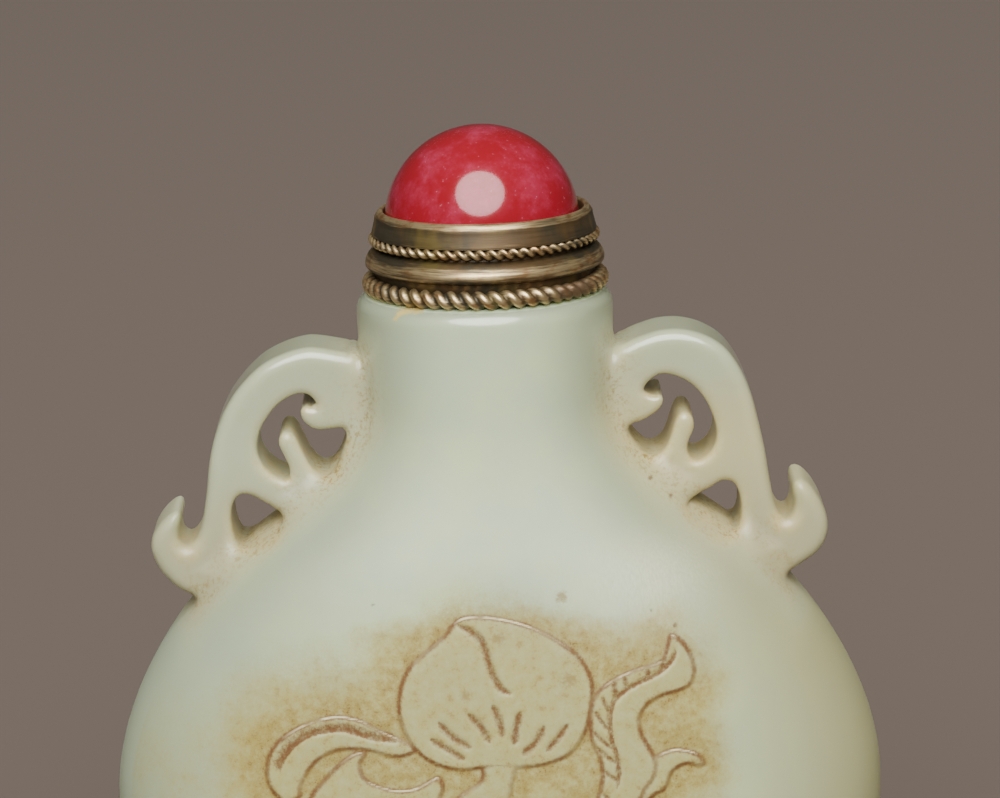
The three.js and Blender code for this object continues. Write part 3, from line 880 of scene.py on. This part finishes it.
# Cloudy patterns: the size of their features in millimetres, detail and roughness.
cloudy = {}
for name, size, detail, rough in (
        ("stone", 6, 4, 0.6), ("warmth", 3, 4, 0.6), ("stain_edge", 2.2, 4, 0.6),
        ("grains", 0.7, 5, 0.75), ("fine_grains", 0.14, 3, 0.6), ("dust_and_light", 1.2, 4, 0.7),
        ("dirt", 1.6, 3, 0.5), ("fine_dirt", 0.3, 4, 0.75), ("patches", 0.4, 4, 0.7),
        ("gaps", 1.8, 3, 0.5), ("ragged", 0.22, 3, 0.7), ("crust", 0.3, 3, 0.7)):
    cloudy[name] = add_node(
        jade, "TexNoise", Vector=place, Scale=1 / (size * MM), Detail=detail, Roughness=rough)
upright = add_node(jade, "VectorMath", MULTIPLY, input0=place, input1=(1, 1, 0.05))
scratches = add_node(
    jade, "TexNoise", Vector=upright, Scale=1 / (0.12 * MM), Detail=3, Roughness=0.5)

# Each mask reads a value and goes smoothly from 0 at the first number to 1 at the second.
# Distances to the carving are in millimetres.
mask = {}
for name, value, low, high in (
        ("cool", cloudy["stone"], 0.3, 0.7),
        ("on_right", apart["X"], 3 * MM, 21 * MM),
        ("warm_right", apart["X"], -16 * MM, 8 * MM),
        ("warm_below", apart["Z"], 56 * MM, 50 * MM),
        ("handle_foot", apart["Z"], 50 * MM, 44 * MM),
        ("far_right", apart["X"], 12 * MM, 17 * MM),
        ("right_side", apart["X"], 9.5 * MM, 13 * MM),
        ("over_leaf", apart["Z"], 34 * MM, 37.5 * MM),
        ("over_peach", apart["Z"], 39.3 * MM, 41.5 * MM),
        ("in_front", apart["Y"], 0, -2 * MM),
        ("on_ground", known["motif"], -0.05, 0.12),
        ("between_leaves", known["motif"], 2.4, 0.3),
        ("at_outline", known["outline"], 1.1, 0.1),
        ("outline_crest", known["outline"], 0.1, 0.03),
        ("outline_up", known["top_edge"], 0.72, 1),
        ("step_crest", known["step"], 0.16, 0.06),
        ("step_up", known["fold_edge"], 0.4, 0.85),
        ("grainy", cloudy["grains"], 0.25, 0.65),
        ("grimy", cloudy["grains"], 0.3, 0.7),
        ("blotted", cloudy["grains"], 0.56, 0.7),
        ("dotted", cloudy["grains"], 0.42, 0.6),
        ("finely_dotted", cloudy["fine_grains"], 0.52, 0.64),
        ("dusty", cloudy["dust_and_light"], 0.15, 0.75),
        ("dirty", cloudy["dirt"], 0.3, 0.56),
        ("finely_dirty", cloudy["fine_dirt"], 0.47, 0.64),
        ("patchy", cloudy["patches"], 0, 0.6),
        ("unbroken", cloudy["gaps"], 0.25, 0.6),
        ("crusty", cloudy["crust"], 1.1, -0.5),
        ("scratched", scratches, 0.1, 0.9)):
    mask[name] = add_node(jade, "MapRange", SMOOTH, Value=value, From_Min=low, From_Max=high)

# The clean stone is cloudy, with painted shade towards its sides and on the shoulders, and
# warmer low on the handles.
colour = add_node(
    jade, "Mix", COLOURS, MIXED, input0=mask["cool"], input6=JADE_PALE, input7=JADE_COOL)
# The colour of the painted shade on the sides and shoulders, warmer on the right.
deep = add_node(
    jade, "Mix", COLOURS, MIXED, input0=mask["on_right"], input6=JADE_SIDE_SHADE, input7=JADE_SIDE_SHADE_WARM)
warmth = add_node(jade, "Math", MULTIPLY, input0=mask["warm_right"], input1=mask["warm_below"])
warmth = add_node(jade, "Math", ADD, input0=warmth, input1=cloudy["warmth"])
warmth = add_node(jade, "MapRange", SMOOTH, Value=warmth, From_Min=0.4, From_Max=1.5)
handle_tone = add_node(
    jade, "Mix", COLOURS, MIXED, input0=warmth, input6=HANDLE_COOL, input7=HANDLE_WARM)
foot_share = add_node(jade, "Math", MULTIPLY, input0=mask["handle_foot"], input1=0.7)
handle_tone = add_node(
    jade, "Mix", COLOURS, MIXED, input0=foot_share, input6=handle_tone, input7=HANDLE_LOW)

# Near the motif the jade is stained, in fine grains that thin out away from it. The stain
# stops sooner above the peach and on the right.
above_peach = add_node(jade, "Math", MULTIPLY, input0=mask["over_peach"], input1=2.8)
above_leaf = add_node(jade, "Math", MULTIPLY, input0=mask["over_leaf"], input1=3.2)
above_leaf = add_node(jade, "Math", MULTIPLY, input0=mask["right_side"], input1=above_leaf)
past_leaf = add_node(jade, "Math", MULTIPLY, input0=mask["far_right"], input1=3)
kept_clean = add_node(jade, "Math", LARGER, input0=above_peach, input1=above_leaf)
kept_clean = add_node(jade, "Math", LARGER, input0=past_leaf, input1=kept_clean)
fine_edge = add_node(jade, "Math", MULTIPLY, input0=cloudy["fine_grains"], input1=3)
border = add_node(
    jade, "Math", TIMES_PLUS, input0=cloudy["stain_edge"], input1=3.4, input2=fine_edge)
border = add_node(jade, "Math", ADD, input0=border, input1=kept_clean)
border = add_node(jade, "Math", ADD, input0=known["motif"], input1=border)
near_motif = add_node(jade, "MapRange", SMOOTH, Value=border, From_Min=9.2, From_Max=4)
cut_back = add_node(
    jade, "Math", TIMES_PLUS, input0=mask["on_ground"], input1=0.15, input2=0.75)
stain = add_node(jade, "Math", TIMES_PLUS, input0=mask["grainy"], input1=0.35, input2=0.65)
stain = add_node(jade, "Math", MULTIPLY, input0=cut_back, input1=stain)
stain = add_node(jade, "Math", MULTIPLY, input0=stain, input1=near_motif)
crowded = add_node(
    jade, "Math", MULTIPLY, input0=mask["on_ground"], input1=mask["between_leaves"])
crowded = add_node(jade, "Math", MULTIPLY, input0=crowded, input1=mask["grimy"])
crowded = add_node(jade, "Math", MULTIPLY, input0=crowded, input1=near_motif)
blots = add_node(jade, "Math", MULTIPLY, input0=mask["blotted"], input1=near_motif)

# The openings and joints of the handles hold ochre dust, and dirt in grains. On walls that
# face up the ochre lies thicker, which is also painted light.
dust_and_light = add_node(jade, "Math", MULTIPLY, input0=known["joint"], input1=0.5)
dust_and_light = add_node(jade, "Math", LARGER, input0=known["wall"], input1=dust_and_light)
dust_and_light = add_node(jade, "Math", MULTIPLY, input0=dust_and_light, input1=mask["dusty"])
seam = add_node(
    jade, "Math", TIMES_PLUS, input0=known["wall"], input1=0.4, input2=known["joint"])
dirt = add_node(jade, "Math", MULTIPLY, input0=mask["dirty"], input1=mask["finely_dirty"])
dirt = add_node(jade, "Math", MULTIPLY, input0=seam, input1=dirt)

# The rubbed place is painted lighter as a sheen, and is full of fine upright scratches.
sheen_and_scratches = add_node(jade, "Math", TIMES_PLUS, input0=mask["scratched"], input1=0.45, input2=0.22)
sheen_and_scratches = add_node(jade, "Math", MULTIPLY, input0=known["rubbed_place"], input1=sheen_and_scratches)

# Outlines, grooves and folds are dark with old polishing dust, unevenly, and the stained
# ground is full of dark flecks.
ragged = add_node(jade, "Math", ADD, input0=cloudy["ragged"], input1=-0.5)
ragged = add_node(jade, "Math", MULTIPLY, input0=ragged, input1=1.2)
line_ink = {}
for name, raggedness, outer, inner in (
        ("outline", 0.24, 0.28, 0.03), ("groove", 1.9, 1.7, 0.1), ("fold", 1.9, 1.6, 0.3)):
    gap = add_node(
        jade, "Math", TIMES_PLUS, input0=ragged, input1=raggedness, input2=known[name])
    line_ink[name] = add_node(
        jade, "MapRange", SMOOTH, Value=gap, From_Min=outer, From_Max=inner)
uneven = add_node(jade, "Math", TIMES_PLUS, input0=mask["unbroken"], input1=0.65, input2=0.35)
outlined = add_node(jade, "Math", MULTIPLY, input0=line_ink["outline"], input1=uneven)
engraved_ink = add_node(
    jade, "Math", LARGER, input0=line_ink["groove"], input1=line_ink["fold"])
engraved_ink = add_node(jade, "Math", MULTIPLY, input0=engraved_ink, input1=mask["patchy"])
flecks = add_node(jade, "Math", MULTIPLY, input0=mask["finely_dotted"], input1=mask["dotted"])
fleck_share = add_node(
    jade, "Math", TIMES_PLUS, input0=mask["at_outline"], input1=0.45, input2=0.1)
fleck_share = add_node(
    jade, "Math", TIMES_PLUS, input0=mask["on_ground"], input1=0.45, input2=fleck_share)
fleck_share = add_node(jade, "Math", MULTIPLY, input0=near_motif, input1=fleck_share)
flecks = add_node(jade, "Math", MULTIPLY, input0=flecks, input1=fleck_share)
flecks = add_node(jade, "Math", MULTIPLY, input0=flecks, input1=0.7)
ink = add_node(jade, "Math", LARGER, input0=outlined, input1=engraved_ink)
ink = add_node(jade, "Math", MULTIPLY, input0=ink, input1=0.95)
ink = add_node(jade, "Math", LARGER, input0=ink, input1=flecks)

# Edges that look up get a painted glint, a pale line of highlight, and a yellow crust is left
# under the rope.
top_edge = add_node(
    jade, "Math", MULTIPLY, input0=mask["outline_crest"], input1=mask["outline_up"])
fold_edge = add_node(jade, "Math", MULTIPLY, input0=mask["step_crest"], input1=mask["step_up"])
painted_glint = add_node(jade, "Math", LARGER, input0=top_edge, input1=fold_edge)
unbroken = add_node(jade, "MapRange", SMOOTH, Value=mask["unbroken"], From_Min=0.35, From_Max=1)
painted_glint = add_node(jade, "Math", MULTIPLY, input0=painted_glint, input1=unbroken)
crust = add_node(jade, "Math", ADD, input0=known["deposit"], input1=mask["crusty"])
crust = add_node(jade, "MapRange", SMOOTH, Value=crust, From_Min=0.85, From_Max=1.2)

# Single specks and blots: where they are across and up, and how large, in millimetres.
specks = []
level_place = add_node(jade, "VectorMath", MULTIPLY, input0=place, input1=(1, 0, 1))
for x, z, size, tone in (
        (-7.73, 41.5, 0.16, DARK_SPECK), (10.07, 40.5, 0.13, DARK_SPECK),
        (4.35, 41.75, 0.6, GRIME), (4.66, 36.44, 0.75, GRIME), (0.2, 39.3, 0.6, GRIME),
        (-1.96, 35.6, 0.5, GRIME), (10.45, 47.83, 0.22, RUSSET), (11.73, 46.61, 0.24, RUSSET),
        (11.59, 39.4, 0.2, RUSSET)):
    away = add_node(
        jade, "VectorMath", {"operation": "DISTANCE"}, "Value", input0=level_place,
        input1=(x * MM, 0, z * MM))
    away = add_node(
        jade, "Math", TIMES_PLUS, input0=ragged, input1=1.8 * size * MM, input2=away)
    speck = add_node(
        jade, "MapRange", SMOOTH, Value=away, From_Min=size * MM, From_Max=0.1 * size * MM)
    speck = add_node(jade, "Math", MULTIPLY, input0=speck, input1=mask["in_front"])
    specks.append((speck, 0.7, tone))

# From the stone itself to what lies on it, with the painted shade, sheen, glints and light on
# the hole walls among them: where a colour shows, how strongly, and the colour.
for where, strength, tone in (
        (known["aside"], 0.85, deep), (known["warm"], 0.9, handle_tone), (stain, 1, JADE_TAN),
        (crowded, 0.55, GRIME), (blots, 0.6, GRIME), (dust_and_light, 0.85, OCHRE), (dirt, 0.75, GRIME),
        (sheen_and_scratches, 1, SCRATCHES_AND_SHEEN), (ink, 1, RUSSET), (painted_glint, 0.9, PAINTED_GLINT),
        (crust, 1, YELLOW_CRUST), *specks):
    share = add_node(jade, "Math", MULTIPLY, input0=where, input1=strength)
    colour = add_node(jade, "Mix", COLOURS, MIXED, input0=share, input6=colour, input7=tone)

# Light sinks into clean jade, but not into the stain and the dust in the lines.
clouded = add_node(jade, "Math", MULTIPLY, input0=stain, input1=0.4)
clouded = add_node(jade, "Math", LARGER, input0=clouded, input1=ink)
see_through = add_node(jade, "MapRange", Value=clouded, To_Min=0.75, To_Max=0.1)
smoothed = add_node(
    jade, "Math", TIMES_PLUS, input0=known["rubbed_place"], input1=0.6, input2=known["polish"])
roughness = add_node(jade, "MapRange", Value=smoothed, To_Min=0.5, To_Max=0.3)
roughness = add_node(jade, "Math", TIMES_PLUS, input0=ink, input1=0.3, input2=roughness)
bump = add_node(jade, "Bump", Strength=0.08, Distance=0.03 * MM, Height=scratches)
jade_shader = add_node(
    jade, "BsdfPrincipled", Base_Color=colour, Roughness=roughness, IOR=1.61,
    Specular_IOR_Level=0.46, Subsurface_Weight=see_through,
    Subsurface_Radius=(1.0, 0.95, 0.75), Subsurface_Scale=2.2 * MM,
    Coat_Weight=known["polish"], Coat_Roughness=0.09, Coat_IOR=1.5, Normal=bump)
jade.node_tree.links.new(jade_shader, jade_surface)
cut.materials.clear()
cut.materials.append(jade)
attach(bottle, "root")
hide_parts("bottle")


# ======================================================================================
# The collar of the stopper, turned from brass and browned with age. From the top: a bezel
# round the stone, a flared skirt over the fine rope, a half-round band, and a dark groove
# over the heavy rope. A plain plug below the lip closes the neck.

STOPPER_STEPS = 128
COLLAR_EDGE = 0.05 * MM  # the bevel on every edge sharper than the angle
SHARP_ANGLE = math.radians(40)
STOPPER_SHIFT = 0.11 * MM  # the collar sits a little to one side of the stone
CRUST_TURN = math.radians(-42)  # where old solder shows, from the bottle's right side
CRUST_SPREAD = math.radians(13)
# Radius, height above the lip, and how bright it is rubbed.
collar_profile = [
    (0, -4, 0.3), (2.85, -4, 0.3), (3.15, -3.7, 0.3), (3.15, 0, 0), (6.6, 0, 0), (7.1, 0.9, 0),
    (7.25, 1.3, 0.1), (7.3, 1.58, 0.1), (7.56, 1.63, 0.15), (7.72, 1.71, 0.3), (7.8, 1.83, 0.6),
    (7.82, 1.98, 0.7), (7.79, 2.16, 0.8), (7.73, 2.34, 0.8), (7.63, 2.52, 0.6), (7.5, 2.68, 0.4),
    (7.32, 2.82, 0.3), (7.1, 2.92, 0.1), (6.9, 2.98, 0), (6.85, 3.75, 0), (7.32, 3.8, 0.1),
    (7.36, 3.88, 0.4), (7.33, 3.98, 0.3), (7.26, 4.25, 0.1), (7.19, 4.55, 0.05), (7.13, 4.8, 0.1),
    (7.12, 4.97, 0.4), (7.07, 5.07, 0.7), (6.98, 5.2, 0.8), (6.89, 5.32, 0.8), (6.81, 5.39, 0.8),
    (6.7, 5.42, 0.7), (6.6, 5.36, 1), (6.53, 5.22, 0.2), (6.45, 4.8, 0), (6.45, 2.4, 0),
    (0, 2.4, 0)]


def spun(profile, steps, layers=()):
    """A solid of revolution from points of (radius, height, and a value for each layer)."""
    shape = bmesh.new()
    kept = [shape.verts.layers.float.new(layer) for layer in layers]
    chain = []
    for radius, height, *values in profile:
        vertex = shape.verts.new((radius * MM, 0, LIP_HEIGHT + height * MM))
        for layer, value in zip(kept, values):
            vertex[layer] = value
        chain.append(vertex)
    edges = [shape.edges.new(pair) for pair in zip(chain, chain[1:])]
    bmesh.ops.spin(
        shape, geom=chain + edges, cent=(0, 0, 0), axis=(0, 0, 1), angle=math.tau, steps=steps,
        use_merge=True)
    bmesh.ops.remove_doubles(shape, verts=shape.verts, dist=MERGE_DISTANCE)
    bmesh.ops.recalc_face_normals(shape, faces=shape.faces)
    return shape


collar_shape = spun(collar_profile, STOPPER_STEPS, ["rubbed"])
bmesh.ops.translate(collar_shape, vec=(STOPPER_SHIFT, 0, 0), verts=collar_shape.verts)
sharp = [e for e in collar_shape.edges
         if len(e.link_faces) == 2 and e.calc_face_angle() > SHARP_ANGLE]
bmesh.ops.bevel(
    collar_shape, geom=sharp, offset=COLLAR_EDGE, segments=2, profile=0.5, affect="EDGES",
    material=-1)


DARK_BROWN = linear("#3f392b")
RED_BROWN = linear("#56432a")
OLIVE_BROWN = linear("#65562f")
BRIGHT_BRASS = linear("#dcc291")
COPPERY_BRASS = linear("#b58a5c")
OLD_SOLDER = linear("#7c634a")


def old_brass(name, crusty=False):
    """Turned or drawn brass gone brown and olive with age, rubbed bright on what stands out.
    The brown is a skin over the metal: where it is thick, the surface is dull and hardly
    metallic."""
    brass, surface = new_material(name)
    place = add_node(brass, "TexCoord", out="Object")
    # How bright it is rubbed: wear, and on the ropes also a painted highlight on the lit side of each
    # lobe.
    rubbed = add_node(brass, "Attribute", {"attribute_name": "rubbed"}, "Fac")

    # The size of each pattern in millimetres, its roughness, and how it is squeezed across
    # and upright.
    cloudy = {}
    for pattern, size, rough, across, upright in (
            ("brown", 2.2, 0.5, 1, 0.4), ("olive", 3, 0.6, 1, 0.5), ("copper", 1.2, 0.6, 1, 2),
            ("streaks", 0.5, 0.65, 0.15, 3), ("fine", 0.2, 0.6, 0.2, 2.5)):
        squeezed = add_node(
            brass, "VectorMath", MULTIPLY, input0=place, input1=(across, across, upright))
        cloudy[pattern] = add_node(
            brass, "TexNoise", Vector=squeezed, Scale=1 / (size * MM), Detail=3,
            Roughness=rough)
    mask = {}
    for pattern, low, high in (
            ("brown", 0.4, 0.62), ("olive", 0.5, 0.7), ("copper", 0.45, 0.7),
            ("streaks", 0.2, 0.9)):
        mask[pattern] = add_node(
            brass, "MapRange", SMOOTH, Value=cloudy[pattern], From_Min=low, From_Max=high)

    worn_and_highlight = add_node(
        brass, "Math", TIMES_PLUS, input0=mask["streaks"], input1=0.8, input2=rubbed)
    worn_through_and_highlight = add_node(brass, "MapRange", SMOOTH, Value=worn_and_highlight, From_Min=0.7, From_Max=1.5)
    bright = add_node(
        brass, "Mix", COLOURS, MIXED, input0=mask["copper"], input6=BRIGHT_BRASS,
        input7=COPPERY_BRASS)
    layers = [
        (mask["brown"], RED_BROWN), (mask["olive"], OLIVE_BROWN), (worn_through_and_highlight, bright)]
    if crusty:
        crust = add_node(brass, "Attribute", {"attribute_name": "crust"}, "Fac")
        solder = add_node(brass, "Math", MULTIPLY, input0=crust, input1=0.8)
        layers.append((solder, OLD_SOLDER))
    colour = DARK_BROWN
    for share, tone in layers:
        colour = add_node(
            brass, "Mix", COLOURS, MIXED, input0=share, input6=colour, input7=tone)

    roughness = add_node(
        brass, "MapRange", Value=worn_and_highlight, From_Min=0.2, From_Max=1.5, To_Min=0.5, To_Max=0.36)
    bare = add_node(
        brass, "MapRange", Value=worn_and_highlight, From_Min=0.3, From_Max=1.5, To_Min=0.4, To_Max=0.95)
    dents = add_node(brass, "Bump", Strength=0.25, Distance=0.02 * MM, Height=cloudy["fine"])
    shader = add_node(
        brass, "BsdfPrincipled", Base_Color=colour, Metallic=bare,
        Roughness=roughness, Normal=dents)
    brass.node_tree.links.new(shader, surface)
    return brass


collar = new_piece("turned_collar", collar_shape, old_brass("browned_brass"))
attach(collar, "root")
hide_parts("stopper_collar")


# ======================================================================================
# The ropes: two brass wires twisted together and soldered on in a ring. The heavy one hides
# where the collar meets the lip of the bottle, and the fine one sits under the bezel.

STRANDS = 2
SOLDER_GRAIN = 0.3 * MM
WIRE_WAVE = 2.5 * MM
UNEVEN_WIRE = 0.36  # the radius of wire that the bumps are worked out for, millimetres


def rope(name, material, ring, height, wire, apart, lobes, steps_a_lobe, sides):
    """A ring of wires twisted together, with lobes along its side. ring is its radius, wire
    the radius of one wire and apart how far its middle is from the rope's, in millimetres."""
    share = math.tau / STRANDS
    valley = apart * math.cos(share / 2) + math.sqrt(
        wire ** 2 - (apart * math.sin(share / 2)) ** 2)
    start = (ring * MM, 0, LIP_HEIGHT + height * MM)
    shape = bmesh.new()
    rubbed = shape.verts.layers.float.new("rubbed")
    crust = shape.verts.layers.float.new("crust")
    bmesh.ops.create_circle(
        shape, segments=sides, radius=MM,
        matrix=Matrix.Translation(start) @ Matrix.Rotation(math.pi / 2, 4, "X"))
    bmesh.ops.spin(
        shape, geom=shape.verts[:] + shape.edges[:], cent=(0, 0, 0), axis=(0, 0, 1), angle=math.tau,
        steps=lobes * steps_a_lobe, use_merge=True)
    for vertex in shape.verts:
        turn = math.atan2(vertex.co.y, vertex.co.x)
        out = math.hypot(vertex.co.x, vertex.co.y) / MM - ring
        up = (vertex.co.z - LIP_HEIGHT) / MM - height
        around = math.atan2(up, out)
        twisted = (around + turn * lobes / STRANDS + share / 2) % share - share / 2
        size = apart * math.cos(twisted) + math.sqrt(wire ** 2 - (apart * math.sin(twisted)) ** 2)
        lobe = (size - valley) / (wire + apart - valley)
        old = math.exp(-((turn - CRUST_TURN) / CRUST_SPREAD) ** 2)
        bumps = noise.noise(vertex.co / SOLDER_GRAIN) * 0.07 * old
        unevenness = noise.noise(vertex.co / WIRE_WAVE) * 0.012
        size = size * (1 - 0.1 * old * lobe) + (bumps + unevenness) * wire / UNEVEN_WIRE
        reach_out = ring + size * math.cos(around)
        vertex.co = Vector((
            reach_out * math.cos(turn) * MM + STOPPER_SHIFT, reach_out * math.sin(turn) * MM,
            LIP_HEIGHT + (height + size * math.sin(around)) * MM))
        # Lobe crests are rubbed bright, and brightest on the side facing up and out, a painted highlight.
        vertex[rubbed] = 0.2 + lobe * (1 - 0.4 * old) * (0.6 + 0.4 * math.cos(around - 0.5))
        vertex[crust] = old
    bmesh.ops.recalc_face_normals(shape, faces=shape.faces)
    piece = new_piece(name, shape, material)
    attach(piece, "root")
    return piece


heavy_rope = rope(
    "twisted_base_rope", old_brass("soldered_brass_wire", crusty=True), ring=7.46, height=0.58,
    wire=0.42, apart=0.2, lobes=52, steps_a_lobe=8, sides=30)
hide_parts("stopper_base_rope")
fine_rope = rope(
    "twisted_fine_rope", old_brass("rubbed_and_highlit_brass_wire"), ring=7.2, height=3.5,
    wire=0.2, apart=0.16, lobes=64, steps_a_lobe=7, sides=18)
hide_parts("stopper_fine_rope")


# ======================================================================================
# The stone: a polished red half-ball with pink clouds and fine pale flecks, held by the
# bezel. Its polish is glassy over a softer body, so the light shows sharp with a faint halo.

# In millimetres, with heights above the lip.
STONE_RADIUS = 6.38
STONE_CENTRE = 4.38
STONE_BASE = 2.4
STONE_RINGS = 40
STONE_RED = linear("#8b1622")
CLOUD_RED = linear("#96243a")
MILKY_PINK = linear("#b84460")
FLECK_PINK = linear("#d08894")

lowest = math.acos((STONE_BASE - STONE_CENTRE) / STONE_RADIUS)
stone_profile = [(0, STONE_BASE)]
for step in range(STONE_RINGS, -1, -1):
    angle = lowest * step / STONE_RINGS
    stone_profile.append(
        (STONE_RADIUS * math.sin(angle), STONE_CENTRE + STONE_RADIUS * math.cos(angle)))
stone_shape = spun(stone_profile, STOPPER_STEPS)

# Mottled red stone, ground round and polished with fine powder until it mirrors.
red_stone, stone_surface = new_material("mottled_red_stone")
place = add_node(red_stone, "TexCoord", out="Object")

# The size of each pattern in millimetres, its detail and roughness, and the two values
# between which it goes from none to full.
mask = {}
for name, size, detail, rough, low, high in (
        ("clouds", 2.4, 5, 0.65, 0.4, 0.68), ("milk", 0.5, 4, 0.75, 0.42, 0.75),
        ("flecks", 0.3, 3, 0.7, 0.66, 0.74)):
    pattern = add_node(
        red_stone, "TexNoise", Vector=place, Scale=1 / (size * MM), Detail=detail,
        Roughness=rough)
    mask[name] = add_node(
        red_stone, "MapRange", SMOOTH, Value=pattern, From_Min=low, From_Max=high)
milky = add_node(red_stone, "Math", MULTIPLY, input0=mask["milk"], input1=mask["clouds"])
colour = STONE_RED
for where, strength, tone in (
        (mask["clouds"], 1, CLOUD_RED), (milky, 0.4, MILKY_PINK),
        (mask["flecks"], 0.45, FLECK_PINK)):
    share = add_node(red_stone, "Math", MULTIPLY, input0=where, input1=strength)
    colour = add_node(
        red_stone, "Mix", COLOURS, MIXED, input0=share, input6=colour, input7=tone)
stone_shader = add_node(
    red_stone, "BsdfPrincipled", Base_Color=colour, Roughness=0.16, IOR=1.5,
    Specular_Tint=linear("#ffb4bc"), Coat_Weight=0.65, Coat_Roughness=0.07, Coat_IOR=1.5)
red_stone.node_tree.links.new(stone_shader, stone_surface)
stone = new_piece("red_half_ball", stone_shape, red_stone)
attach(stone, "root")
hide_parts("stopper_stone")


low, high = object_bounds()
